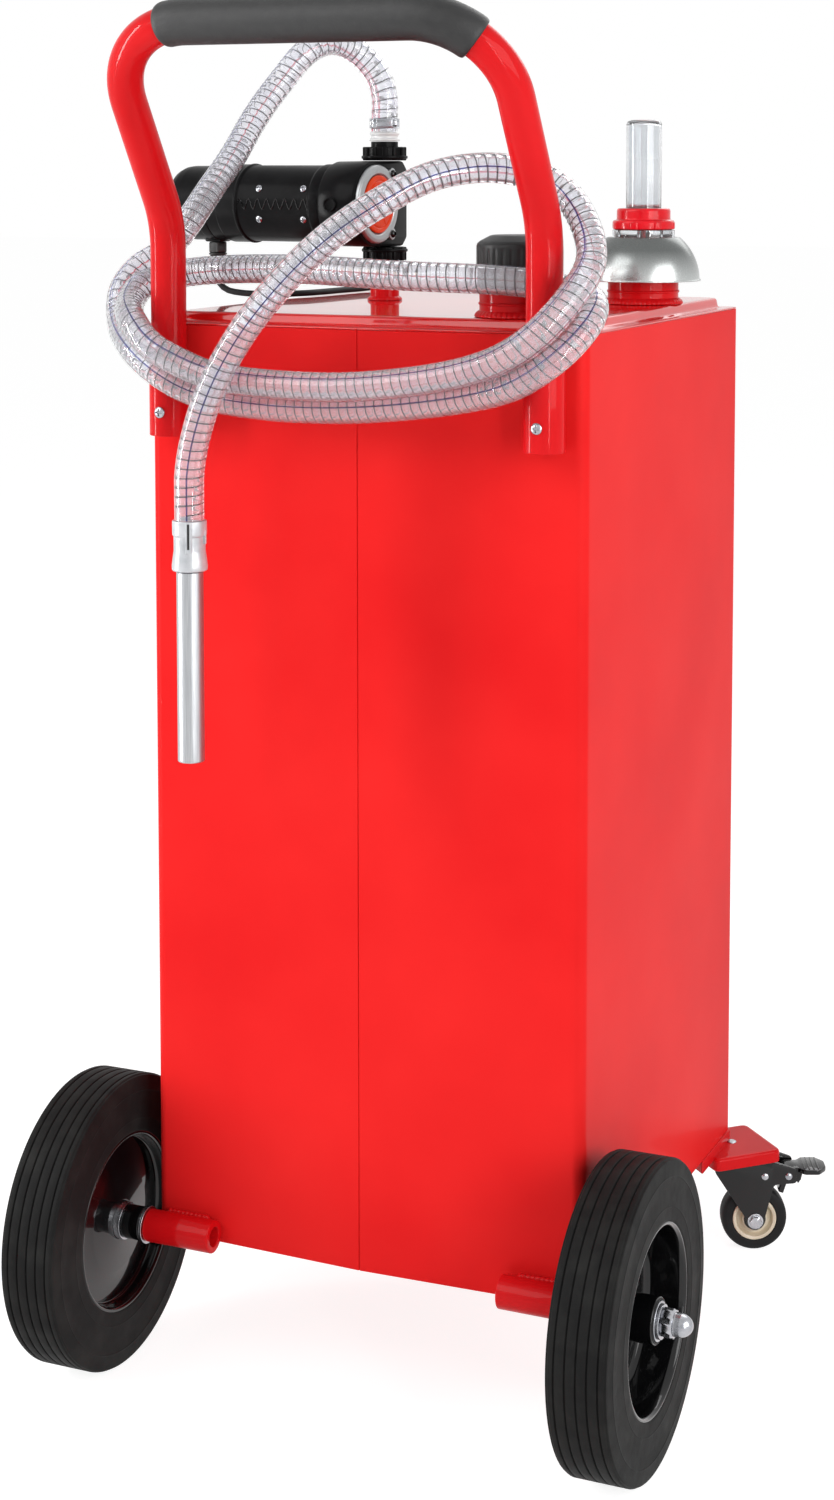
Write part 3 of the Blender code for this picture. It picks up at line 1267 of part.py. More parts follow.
def make_hose():
    route = [(*PUMP_XY, HOSE_START), *HOSE_ROUTE]
    gap = least_gap(smooth_route(route, HOSE_RADIUS / 2), HOSE_RADIUS)
    print(f"hose: least gap to itself {gap * 1000:.2f} mm")
    swept("hose", smooth_route(route, HOSE_STEP), HOSE_RADIUS, "clear_plastic", ROOT)

    x, y, end = HOSE_ROUTE[-1]
    top = end - FIT_GAP
    bottom = top - COUPLING_HEIGHT
    waist = COUPLING_RADIUS - COUPLING_WAIST_DEPTH
    bore_radius = NOZZLE_RADIUS - NOZZLE_WALL
    coupling = [
        (COUPLING_RADIUS, top),
        (COUPLING_RADIUS, top - COUPLING_COLLAR),
        (waist, top - COUPLING_COLLAR),
        (waist, bottom + COUPLING_COLLAR),
        (COUPLING_RADIUS, bottom + COUPLING_COLLAR),
        (COUPLING_RADIUS, bottom),
        (bore_radius, bottom),
        (bore_radius, top),
    ]
    turned("nozzle_coupling", coupling, UP, (x, y, 0), "satin_silver", ROOT)
    pipe_top = bottom - FIT_GAP
    pipe = ring_profile(NOZZLE_RADIUS, bore_radius, pipe_top, pipe_top - NOZZLE_LENGTH)
    turned("nozzle_pipe", pipe, UP, (x, y, 0), "satin_silver", ROOT)


def coil_point(turns):
    """A point of the coil: it winds in on the floor, climbs a layer, and winds out again."""
    total = 2 * COIL_TURNS_IN + COIL_TURNS_CLIMB
    angle = COIL_START + 2 * math.pi * turns
    radius = COIL_RADIUS - COIL_PITCH * min(turns, total - turns)
    climb = min(max((turns - COIL_TURNS_IN) / COIL_TURNS_CLIMB, 0), 1)
    height = CABLE_FLOOR + COIL_LAYER_RISE * climb * climb * (3 - 2 * climb)
    x, y = COIL_CENTRE
    return Vector((x + radius * math.cos(angle), y + radius * math.sin(angle), height))


def make_cable():
    total = 2 * COIL_TURNS_IN + COIL_TURNS_CLIMB
    count = round(total * COIL_LOOP_POINTS)
    loops = [coil_point(step / COIL_LOOP_POINTS) for step in range(count + 1)]
    run = 2 * CABLE_RADIUS
    first, last = loops[0], loops[-1]
    into = Vector((-math.sin(COIL_START), math.cos(COIL_START), 0))
    away = Vector(((last - loops[-2]).x, (last - loops[-2]).y, 0)).normalized()
    loops = [first - into * run, *loops, last + away * COIL_TAIL]
    print(f"coil: least gap to itself {least_gap(loops, CABLE_RADIUS) * 1000:.2f} mm")
    swept("cable_coil", loops, CABLE_RADIUS, "black_rubber", ROOT, resolution=1)

    x, y = PUMP_XY
    start = Vector((-GLAND_OFFSET, -PUMP_OFFSET, GLAND_BOTTOM - FIT_GAP))
    start.rotate(Matrix.Rotation(PUMP_YAW, 3, "Z"))
    start += Vector((x, y, 0))
    finish = loops[0] - into * FIT_GAP
    before = finish - into * CABLE_STEP
    route = [tuple(start), *CABLE_ROUTE, tuple(before), tuple(finish)]
    swept("power_cable", smooth_route(route, CABLE_STEP), CABLE_RADIUS, "black_rubber", ROOT)

    base = loops[-1] + away * FIT_GAP
    plug = [
        (0, PLUG_LENGTH + PLUG_TIP),
        (PLUG_TIP_RADIUS, PLUG_LENGTH + PLUG_TIP),
        (PLUG_TIP_RADIUS, PLUG_LENGTH),
        (PLUG_RADIUS, PLUG_LENGTH),
        (PLUG_RADIUS, 0),
        (0, 0),
    ]
    turned("cable_plug", plug, away, base, "black_plastic", ROOT, SMALL_SIDES)


def centre_on_origin(left_out):
    """Moves the caddy so that the middle of its footprint, without its cords, is x = y = 0."""
    bpy.context.view_layer.update()
    graph = bpy.context.evaluated_depsgraph_get()
    reach = []
    for obj in PARTS.objects:
        if obj.type != "EMPTY" and obj.name not in left_out:
            solid = obj.evaluated_get(graph)
            reach += [(solid.matrix_world @ vert.co).y for vert in solid.to_mesh().vertices]
    ROOT.location.y = -(min(reach) + max(reach)) / 2


make_tank()
make_neck("filler_neck", FILLER_XY, NECK_RADIUS, NECK_WALL, FILLER_NECK_HEIGHT, "red_paint")
make_neck("gauge_neck", GAUGE_XY, NECK_RADIUS, NECK_WALL, GAUGE_NECK_HEIGHT, "red_paint")
make_neck("standpipe", PUMP_XY, PIPE_RADIUS, PIPE_WALL, PIPE_HEIGHT, "red_paint")
make_filler_cap()
make_gauge()
make_handle()
for side, name in ((-1, "left"), (1, "right")):
    make_wheel(side, name)
    make_caster(side, name)
make_pump()
make_hose()
make_cable()
centre_on_origin(
    ("hose", "nozzle_coupling", "nozzle_pipe", "power_cable", "cable_coil", "cable_plug")
)
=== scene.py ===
# Looks of the fuel caddy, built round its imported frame. Metres, +Z up, handle side towards -Y.
# Shapes are given in the tank's own axes, where its back panel is y = 0, and piece() moves them by tankOffset.
# Tables inside mm() and rings() are in millimetres.

import math

import bmesh
import bpy
import numpy as np
from mathutils import Matrix, Vector
from mathutils.geometry import tessellate_polygon


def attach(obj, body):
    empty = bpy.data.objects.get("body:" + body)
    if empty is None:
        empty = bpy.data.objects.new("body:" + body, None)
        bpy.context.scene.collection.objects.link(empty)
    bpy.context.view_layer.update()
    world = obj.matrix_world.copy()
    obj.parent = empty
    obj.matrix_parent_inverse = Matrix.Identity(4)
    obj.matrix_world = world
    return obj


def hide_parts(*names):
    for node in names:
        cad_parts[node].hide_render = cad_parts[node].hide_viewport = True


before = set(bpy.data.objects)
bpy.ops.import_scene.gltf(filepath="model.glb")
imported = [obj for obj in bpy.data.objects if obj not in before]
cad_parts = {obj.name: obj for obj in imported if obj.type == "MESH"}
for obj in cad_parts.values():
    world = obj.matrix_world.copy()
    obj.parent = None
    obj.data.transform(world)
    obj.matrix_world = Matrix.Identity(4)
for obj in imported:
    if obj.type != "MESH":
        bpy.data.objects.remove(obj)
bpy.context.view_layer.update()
tankOffset = Matrix.Translation((0, -0.165452, 0))
alongX, alongY, up = (1, 0, 0), (0, 1, 0), (0, 0, 1)
sides = ((-1, "left"), (1, "right"))
print("frame:", len(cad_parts), "nodes")

view = dict(place=(0.87466, -2.04739, 1.05439), yaw=23.194, pitch=4.761, lens=60.28, sensor=36,
            shift=(-0.01236, -0.25))


def makeCamera():
    yaw, pitch = math.radians(view["yaw"]), math.radians(view["pitch"])
    ahead = Vector((-math.sin(yaw) * math.cos(pitch), math.cos(yaw) * math.cos(pitch), -math.sin(pitch)))
    lens = bpy.data.cameras.new("camera")
    lens.lens, lens.sensor_width = view["lens"], view["sensor"]
    lens.shift_x, lens.shift_y = view["shift"]
    camera = bpy.data.objects.new("camera", lens)
    camera.location = view["place"]
    camera.rotation_euler = ahead.to_track_quat("-Z", "Y").to_euler()
    bpy.context.scene.collection.objects.link(camera)
    bpy.context.scene.camera = camera


makeCamera()
print("camera set")


def mathNode(operation):
    return lambda first, second=0.0: first.finish.node("Math", {"operation": operation}, {0: first, 1: second})


class Wire:
    # one shader socket; the sums on it add their Math nodes
    __add__, __sub__, __mul__ = mathNode("ADD"), mathNode("SUBTRACT"), mathNode("MULTIPLY")
    below, wave, away = mathNode("LESS_THAN"), mathNode("SINE"), mathNode("ABSOLUTE")

    def __init__(self, finish, socket):
        self.finish, self.socket = finish, socket

    def capped(self):
        return self.finish.node("Clamp", {}, {"Value": self})

    def ramp(self, low, high):
        return self.finish.node("MapRange", {}, {0: self, 1: low, 2: high, 3: 0.0, 4: 1.0})


class Nodes:
    # a node tree: one call makes a node, sets it and feeds its sockets with values or wires
    def __init__(self, tree):
        self.tree = tree

    def node(self, kind, settings, sockets, out=0):
        made = self.tree.nodes.new("ShaderNode" + kind)
        for key, value in settings.items():
            setattr(made, key, value)
        for key, value in sockets.items():
            self.feed(made.inputs[key], value)
        return Wire(self, made.outputs[out])

    def feed(self, socket, value):
        if isinstance(value, Wire):
            self.tree.links.new(value.socket, socket)
        else:
            socket.default_value = value


class Finish(Nodes):
    # one material: its pattern nodes and its shader's sockets
    def __init__(self, name):
        self.material = bpy.data.materials.new(name)
        self.material.use_nodes = True
        super().__init__(self.material.node_tree)
        self.shader = self.tree.nodes["Principled BSDF"]

    def spot(self, stretch=None):
        here = self.node("TexCoord", {}, {}, "Object")
        return self.node("Mapping", {}, {"Vector": here, "Scale": stretch}) if stretch else here

    def cloud(self, scale, detail=2.0, spot=None):
        return self.node("TexNoise", {}, {"Vector": spot or self.spot(), "Scale": scale, "Detail": detail})

    def cells(self, scale):
        return self.node("TexVoronoi", {}, {"Vector": self.spot(), "Scale": scale})

    def parts(self, vector):
        # its x, y and z
        made = self.node("SeparateXYZ", {}, {0: vector}).socket.node
        return [Wire(self, socket) for socket in made.outputs]

    def blend(self, share, first, second):
        return self.node("Mix", {"data_type": "RGBA"}, {0: share, 6: tint(first), 7: tint(second)}, 2)

    def relief(self, height):
        # height in metres
        self.put(Normal=self.node("Bump", {}, {"Height": height, "Strength": 1.0, "Distance": 1.0}))

    def put(self, **values):
        for key, value in values.items():
            self.feed(self.shader.inputs[key.replace("_", " ")], value)


def tint(colour):
    # red, green and blue as on screen, 0 to 255, to the shader's own scale
    if isinstance(colour, Wire):
        return colour
    share = np.array(colour) / 255
    return (*np.where(share < 0.04045, share / 12.92, ((share + 0.055) / 1.055) ** 2.4), 1.0)


# colour and deep are the two shades that a cloud of the given scale mixes; grain and wave give the scale of a
# relief and its height in micrometres
plainLooks = dict(
    redPaint=dict(slot="red_paint", colour=(223, 38, 37), deep=(210, 27, 29), cloud=5, rough=0.36, vary=0.08,
                  coat=0.06, coatRough=0.04, coatIor=1.2, spec=0.02, grain=(1300, 3), wave=(6, 300)),
    redGloss=dict(slot="red_paint", colour=(214, 22, 22), deep=(198, 12, 13), cloud=9, rough=0.30, vary=0.08,
                  coat=0.82, coatRough=0.03, coatIor=1.5, spec=0.05, grain=(1300, 2), wave=(40, 30)),
    # this finish is the tank's red paint a shade darker: painted shade for the darker edges of the tubes, sockets,
    # necks and brackets
    redTubePaintedShade=dict(slot="red_paint", colour=(208, 24, 28), deep=(192, 14, 19), cloud=9, rough=0.34, vary=0.08,
                 coat=0.5, coatRough=0.03, coatIor=1.25, spec=0.02, grain=(1300, 3), wave=(12, 100)),
    blackEnamel=dict(slot="black_enamel", colour=(12, 12, 13), deep=(6, 6, 7), cloud=30, rough=0.25, vary=0.12,
                     coat=0.9, coatRough=0.04, coatIor=1.42, spec=0.05, grain=(1500, 4), wave=(45, 140)),
    blackCasting=dict(slot="black_casting", colour=(17, 17, 18), deep=(10, 10, 11), cloud=60, rough=0.46, vary=0.16,
                      coat=0.4, coatRough=0.22, coatIor=1.20, spec=0.02, grain=(2600, 20), wave=(240, 80)),
    brightSteel=dict(slot="bright_steel", colour=(190, 191, 195), deep=(150, 152, 158), cloud=90, rough=0.24,
                     vary=0.22, metal=1.0, grain=(2500, 10), wave=(200, 30)),
    satinSilver=dict(slot="satin_silver", colour=(172, 174, 175), deep=(150, 152, 154), cloud=1900, rough=0.36,
                     vary=0.12, metal=0.85, grain=(3200, 12), wave=(30, 40)),
    creamPlastic=dict(slot="cream_plastic", colour=(222, 212, 190), deep=(204, 192, 166), cloud=55, rough=0.38,
                      vary=0.14, coat=0.2, coatRough=0.2, grain=(1800, 20), wave=(120, 40)),
    redPlastic=dict(slot="red_plastic", colour=(222, 20, 34), deep=(196, 10, 22), cloud=60, rough=0.26, vary=0.1,
                    coat=0.5, coatRough=0.1, coatIor=1.35, spec=0.1, grain=(1800, 10), wave=(90, 50)),
    orangePlastic=dict(slot="red_plastic", colour=(228, 70, 22), deep=(210, 54, 12), cloud=70, rough=0.32, vary=0.1,
                       coat=0.4, coatRough=0.12, coatIor=1.25, spec=0.05, grain=(1800, 10), wave=(90, 30)),
    blackPlastic=dict(slot="black_plastic", colour=(36, 36, 36), deep=(24, 24, 25), cloud=50, rough=0.42, vary=0.14,
                      spec=0.3, grain=(2200, 30), wave=(160, 40)),
    whitePlastic=dict(slot="white_plastic", colour=(226, 227, 226), deep=(206, 207, 207), cloud=50, rough=0.34,
                      vary=0.12, coat=0.3, coatRough=0.15, grain=(1900, 20), wave=(120, 30)),
    greyPlastic=dict(slot="satin_silver", colour=(196, 198, 201), deep=(172, 175, 179), cloud=80, rough=0.33,
                     vary=0.14, metal=0.3, coat=0.4, coatRough=0.15, grain=(2100, 20), wave=(140, 40)),
    springWire=dict(slot="bright_steel", colour=(96, 97, 104), deep=(60, 61, 68), cloud=150, rough=0.25, vary=0.2,
                    metal=1.0, grain=(2400, 4), wave=(300, 10)),
    brass=dict(slot="brass", colour=(206, 166, 92), deep=(168, 124, 58), cloud=120, rough=0.28, vary=0.2, metal=1.0,
               grain=(2400, 10), wave=(200, 30)),
    blackRubber=dict(slot="black_rubber", colour=(24, 24, 25), deep=(15, 15, 16), cloud=45, rough=0.60, vary=0.18,
                     spec=0.22, grain=(2300, 30), wave=(150, 50)))
hoseLook = dict(pitch=0.008, radius=0.01225, wall=0.0030, wire=0.00062, wireDepth=0.00042, sides=28, step=0.004,
                perTurn=14, flare=0.0004, flareLength=0.02,
                stripes=((0.16, 0.009, (220, 30, 70)), (0.40, 0.009, (214, 36, 84)), (0.86, 0.007, (24, 34, 150))))


def plainFinish(name, look):
    finish = Finish(name)
    share = finish.cloud(look["cloud"], 3.0).ramp(0.3, 0.7)
    finish.put(Base_Color=finish.blend(share, look["colour"], look["deep"]), Metallic=look.get("metal", 0.0))
    finish.put(Roughness=(finish.cloud(look["cloud"] * 2.3, 4.0) - 0.5) * look["vary"] + look["rough"])
    finish.put(Coat_Weight=look.get("coat", 0.0), Coat_Roughness=look.get("coatRough", 0.03))
    finish.put(Specular_IOR_Level=look.get("spec", 0.5), Coat_IOR=look.get("coatIor", 1.5))
    grain, wave = (finish.cloud(scale) * (height * 1e-6) for scale, height in (look["grain"], look["wave"]))
    finish.relief(grain + wave)
    return finish.material


def foamFinish():
    # closed-cell foam: fine pits and a soft sheen
    finish = Finish("blackFoam")
    finish.put(Base_Color=finish.blend(finish.cloud(120, 4.0).ramp(0.3, 0.7), (29, 29, 29), (19, 19, 20)))
    finish.put(Roughness=finish.cloud(300, 3.0) * 0.2 + 0.36)
    finish.relief(finish.cells(1500) * 0.00016 + finish.cloud(500) * 0.0001 + finish.cloud(25) * 0.0005)
    return finish.material


def tyreFinish():
    # moulded rubber: dull, faintly dusty, with the mould's fine grain
    finish = Finish("tyreRubber")
    finish.put(Base_Color=finish.blend(finish.cloud(38, 5.0).ramp(0.42, 0.78), (27, 27, 27), (39, 39, 38)))
    finish.put(Roughness=finish.cloud(90, 3.0) * 0.2 + 0.46, Specular_IOR_Level=0.05)
    finish.relief(finish.cloud(1400) * 0.00005 + finish.cells(650) * 0.00004 + finish.cloud(60) * 0.0001)
    return finish.material


def drawnFinish():
    # extruded aluminium: fine lines along the tube
    finish = Finish("drawnAluminium")
    lines = finish.cloud(260, 4.0, finish.spot((6, 6, 0.12)))
    finish.put(Base_Color=finish.blend(lines.ramp(0.3, 0.7), (188, 190, 192), (160, 162, 166)), Metallic=0.9)
    finish.put(Roughness=lines * 0.2 + 0.26)
    finish.relief(lines * 0.00004 + finish.cloud(40) * 0.00003)
    return finish.material


def domeFinish():
    # spun silver shell; its colour holds a painted reflection, dark at its crown and paler towards the rim
    finish = Finish("silverPaint")
    # painted reflection: the height in the dome's own axes sets how far the colour goes from the pale rim tone to the
    # dark crown tone
    rise = finish.parts(finish.spot())[2].ramp(0.952, 0.979)
    flakes = finish.cloud(1900).ramp(0.3, 0.7)
    pale = finish.blend(flakes, (196, 199, 198), (178, 181, 180))
    dark = finish.blend(flakes, (112, 115, 114), (96, 99, 98))
    finish.put(Base_Color=finish.blend(rise, pale, dark), Roughness=flakes * 0.06 + 0.24, Metallic=0.85)
    finish.relief(finish.cloud(3200) * 0.000012 + finish.cloud(30) * 0.00004)
    return finish.material


def clearFinish():
    finish = Finish("clearPlastic")
    finish.put(Base_Color=finish.blend(finish.cloud(25).ramp(0.3, 0.7), (238, 240, 242), (226, 229, 232)))
    finish.put(Roughness=finish.cloud(60, 3.0) * 0.05 + 0.015, Transmission_Weight=0.95, IOR=1.5)
    finish.relief(finish.cloud(35) * 0.0001)
    return finish.material


def hoseFinish():
    # soft clear tube: its UV runs round it in turns and along it in metres, for the stripes and the ribs
    finish = Finish("clearHose")
    around, along, _ = finish.parts(finish.node("UVMap", {"uv_map": "lay"}, {}))
    colour = finish.blend(finish.cloud(60, 4.0).ramp(0.3, 0.75), (252, 252, 254), (240, 242, 248))
    for spot, width, stripe in hoseLook["stripes"]:
        colour = finish.blend((around - spot).away().below(width) * 0.95, colour, stripe)
    ribs = (along * (2 * math.pi / hoseLook["pitch"]) - around * (2 * math.pi)).wave()
    finish.put(Base_Color=colour, Roughness=finish.cloud(120, 3.0) * 0.10 + 0.03)
    finish.put(Transmission_Weight=0.86, IOR=1.22, Coat_Weight=0.7, Coat_Roughness=0.05)
    finish.relief(ribs * 0.00022 + finish.cloud(70) * 0.0002)
    return finish.material


finishes = {name: plainFinish(name, look) for name, look in plainLooks.items()}
finishes.update(blackFoam=foamFinish(), tyreRubber=tyreFinish(), drawnAluminium=drawnFinish(),
                clearPlastic=clearFinish(), clearHose=hoseFinish(), silverPaint=domeFinish())
slots = {name: look["slot"] for name, look in plainLooks.items()}
slots.update(blackFoam="black_foam", tyreRubber="tyre_rubber", drawnAluminium="satin_silver",
             clearPlastic="clear_plastic", clearHose="clear_plastic", silverPaint="satin_silver")
print("finishes:", len(finishes))


def mm(*points):
    return np.array(points, float) / 1000


def gridFaces(rows, columns, wrapRows, wrapColumns):
    # the quads of a grid of points, row by row, joined round where a side wraps
    row = np.arange(rows if wrapRows else rows - 1)[:, None]
    column = np.arange(columns if wrapColumns else columns - 1)[None]
    nextRow, nextColumn = (row + 1) % rows, (column + 1) % columns
    corners = [row * columns + column, nextRow * columns + column,
               nextRow * columns + nextColumn, row * columns + nextColumn]
    return np.stack(corners, -1).reshape(-1, 4)


def softened(line, radius, steps=4, closed=False):
    # each corner is cut back by the radius, at most 45% of its shorter side, and turned by a parabola
    line = np.array(line, float)
    before, after = np.roll(line, 1, 0) - line, np.roll(line, -1, 0) - line
    spanIn = np.maximum(np.linalg.norm(before, axis=1), 1e-9)
    spanOut = np.maximum(np.linalg.norm(after, axis=1), 1e-9)
    back = np.minimum(radius, 0.45 * np.minimum(spanIn, spanOut))
    if not closed:
        back[[0, -1]] = 0
    start = line + before / spanIn[:, None] * back[:, None]
    end = line + after / spanOut[:, None] * back[:, None]
    t = np.linspace(0, 1, steps)[None, :, None]
    bent = (1 - t) ** 2 * start[:, None] + 2 * t * (1 - t) * line[:, None] + t ** 2 * end[:, None]
    return bent.reshape(-1, line.shape[1])


def arc(centre, radius, start, end, steps=8):
    # points round a centre, angles in degrees
    turn = np.radians(np.linspace(start, end, steps + 1))
    return np.stack([centre[0] + radius * np.cos(turn), centre[1] + radius * np.sin(turn)], -1)


def turned(profile, count=64, closed=False, soft=0.0, steps=4, wobble=None):
    # a shape, which is (points, rows of four corners, other faces), from (radius, height) points swung round +Z;
    # wobble moves them as a function of radius, height and turn
    line = softened(profile, soft, steps, closed) if soft else np.array(profile, float)
    turn = np.linspace(0, 2 * np.pi, count, endpoint=False)[None]
    radius, height = line[:, :1], line[:, 1:]
    if wobble:
        radius, height = wobble(radius + 0 * turn, height + 0 * turn, turn)
    points = np.stack([radius * np.cos(turn), radius * np.sin(turn), height + 0 * turn], -1)
    return points.reshape(-1, 3), gridFaces(len(line), count, closed, True), []


def ringed(levels, caps=(True, True), closed=False):
    # rings of points of one length, one above the other, with their ends filled
    count = len(levels[0])
    stack = np.array(levels, float)
    last = (len(stack) - 1) * count
    ends = [list(range(count))] * caps[0] + [list(range(last, last + count))] * caps[1]
    return stack.reshape(-1, 3), gridFaces(len(stack), count, closed, True), ends


def tubeFrames(path):
    # along a path: the unit normals and binormals that turn least, carried from point to point
    ahead = np.gradient(path, axis=0)
    ahead /= np.linalg.norm(ahead, axis=1)[:, None]
    side = np.cross(ahead[0], up if abs(ahead[0][2]) < 0.9 else alongX)
    normals = [side / np.linalg.norm(side)]
    for tangent in ahead[1:]:
        carried = normals[-1] - tangent * (normals[-1] @ tangent)
        normals.append(carried / np.linalg.norm(carried))
    normals = np.array(normals)
    return normals, np.cross(ahead, normals)


def tube(path, radius, count=24, bore=0.0):
    # circles of the given radius, or radii, round a path; its ends close on their middles or on its bore
    path = np.array(path, float)
    normal, binormal = tubeFrames(path)
    turn = np.linspace(0, 2 * np.pi, count, endpoint=False)[None, :, None]
    spoke = np.cos(turn) * normal[:, None] + np.sin(turn) * binormal[:, None]
    circles = path[:, None] + spoke * (np.zeros(len(path)) + radius)[:, None, None]
    if bore:
        circles = np.concatenate([circles, (path[:, None] + spoke * bore)[::-1]])
    else:
        first, last = (np.repeat(end[:, None], count, 1) for end in (path[:1], path[-1:]))
        circles = np.concatenate([first, circles, last])
    return circles.reshape(-1, 3), gridFaces(len(circles), count, bool(bore), True), []


def block(size, bevel, steps=3):
    # a box grown by a small ball: each eighth of the ball stands in its own corner
    half = np.array(size) / 2 - bevel
    quarter = np.linspace(0, 1, steps + 1)
    longitude = ((np.arange(4)[:, None] + quarter) * np.pi / 2).reshape(-1)
    corner = np.repeat([[1, 1], [-1, 1], [-1, -1], [1, -1]], steps + 1, 0)
    latitude = np.concatenate([quarter - 1, quarter]) * np.pi / 2
    high = np.repeat([-1, 1], steps + 1)[:, None]
    x = np.cos(latitude)[:, None] * np.cos(longitude) * bevel + corner[:, 0] * half[0]
    y = np.cos(latitude)[:, None] * np.sin(longitude) * bevel + corner[:, 1] * half[1]
    z = np.sin(latitude)[:, None] * bevel + high * half[2] + 0 * x
    return ringed(np.stack([x, y, z], -1))


def inward(outline, distance):
    # an anticlockwise outline moved in along its corners' middle normals
    ahead = np.roll(outline, -1, 0) - np.roll(outline, 1, 0)
    ahead /= np.maximum(np.linalg.norm(ahead, axis=1), 1e-9)[:, None]
    return outline + np.stack([-ahead[:, 1], ahead[:, 0]], -1) * distance


def flatRing(line, height):
    return np.column_stack([line, np.full(len(line), height)])


def rings(line, base, *rows):
    # the outline moved in and stood above the base, row by row, both in millimetres
    return [flatRing(inward(line, inset), base + height) for inset, height in mm(*rows)]


def slab(outline, thickness, bevel):
    # an anticlockwise outline given a thickness, its edges cut back in two steps
    levels = [(bevel, 0), (bevel * 0.3, bevel * 0.3), (0, bevel)]
    levels += [(inset, thickness - height) for inset, height in reversed(levels)]
    return ringed([flatRing(inward(np.array(outline, float), inset), height) for inset, height in levels])


def nut(corners, height, chamfer=0.0012, count=48):
    # a hexagon's radius by angle, held inside a cone at either end
    flat = corners * math.cos(math.pi / 6)
    turn = np.linspace(0, 2 * np.pi, count, endpoint=False)
    hexagon = flat / np.cos(np.mod(turn, np.pi / 3) - np.pi / 6)
    limits = [(0, 0), (flat * 0.96, 0), (corners, chamfer), (corners, height - chamfer), (flat * 0.96, height),
              (0, height)]
    spoke = np.stack([np.cos(turn), np.sin(turn)], -1)
    return ringed([flatRing(np.minimum(hexagon, limit)[:, None] * spoke, level) for limit, level in limits],
                  (False, False))


def place(*spot):
    return Matrix.Translation(spot)


def spun(degrees, axis="Z"):
    return Matrix.Rotation(math.radians(degrees), 4, axis)


def onAxis(axis, base):
    # stands local +Z on the axis, from the base
    return place(*base) @ Vector(up).rotation_difference(Vector(axis)).to_matrix().to_4x4()


def axes(x, y, z, origin):
    # stands local x, y and z along the given directions, from the origin
    made = Matrix((x, y, z)).transposed().to_4x4()
    made.translation = origin
    return made


def moved(shape, matrix):
    points, quads, others = shape
    matrix = np.array(matrix)
    return points @ matrix[:3, :3].T + matrix[:3, 3], quads, others


def bead(start, end, radius, pitch=0.0042):
    # a weld: a tube between two places whose radius rises and falls once a pitch, thin at its ends
    start, end = np.array(start, float), np.array(end, float)
    length = np.linalg.norm(end - start)
    share = np.linspace(0, 1, max(9, int(length / pitch) * 8))
    ripple = 0.86 + 0.14 * np.abs(np.sin(np.pi * share * length / pitch))
    taper = np.minimum(1, np.minimum(share, 1 - share) * length / radius) ** 0.5
    return tube(start + (end - start) * share[:, None], radius * ripple * np.maximum(taper, 0.05), 12)


def ringBead(radius, swell, pitch=0.0042):
    # a weld that runs round a neck
    lumps = round(2 * math.pi * radius / pitch)
    line = [(radius - 0.001, swell * 1.5), (radius, swell * 1.35), (radius + swell * 0.7, swell * 0.8),
            (radius + swell, 0.0), (radius - 0.001, 0.0)]

    def ripple(reach, height, turn):
        return reach + np.abs(np.sin(turn * lumps / 2)) * 0.16 * swell * (reach > radius), height

    return turned(line, lumps * 6, True, 0.0015, 4, ripple)


weldLook = dict(gap=0.000002, sliver=0.0000005)


def piece(name, shapes, finish, body="caddy", sharp=38, lay=None, also=()):
    # one mesh of several shapes, welded, facing out and riding on its body; it stands for the solid of its name
    points, faces, loops = [], [], 0
    for corners, quads, others in shapes:
        faces += (quads + loops).tolist() + [[corner + loops for corner in face] for face in others]
        points.append(corners)
        loops += len(corners)
    mesh = bpy.data.meshes.new(name)
    mesh.from_pydata(np.concatenate(points).tolist(), [], faces)
    if lay is not None:
        mesh.uv_layers.new(name="lay").data.foreach_set("uv", lay.astype(np.float32).ravel())
    mesh.transform(tankOffset)
    work = bmesh.new()
    work.from_mesh(mesh)
    bmesh.ops.remove_doubles(work, verts=work.verts, dist=weldLook["gap"])
    bmesh.ops.dissolve_degenerate(work, edges=work.edges, dist=weldLook["sliver"])
    bmesh.ops.recalc_face_normals(work, faces=work.faces)
    work.to_mesh(mesh)
    work.free()
    mesh.shade_smooth()
    mesh.set_sharp_from_angle(angle=math.radians(sharp))
    mesh.materials.append(finishes[finish])
    nodes = [name, *also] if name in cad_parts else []
    made = bpy.data.objects.new(name + "_look" * bool(nodes), mesh)
    bpy.context.scene.collection.objects.link(made)
    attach(made, body)
    if nodes:
        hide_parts(*nodes)
    return made


def lathe(name, stand, finish, profile, *swing, body="caddy", sharp=38, extra=()):
    # a piece of one turned profile, with any other shapes
    return piece(name, [moved(turned(profile, *swing), stand), *extra], finish, body, sharp)


def mirrored(half):
    # a profile's outer half, run back along the other side
    return np.concatenate([half, half[::-1] * (1, -1)])


def alongPath(path, places):
    # the points at the given distances along a path
    run = np.concatenate([[0], np.cumsum(np.linalg.norm(np.diff(path, axis=0), axis=1))])
    return np.stack([np.interp(places, run, path[:, axis]) for axis in range(3)], -1)


def lengthOf(path):
    return float(np.linalg.norm(np.diff(path, axis=0), axis=1).sum())


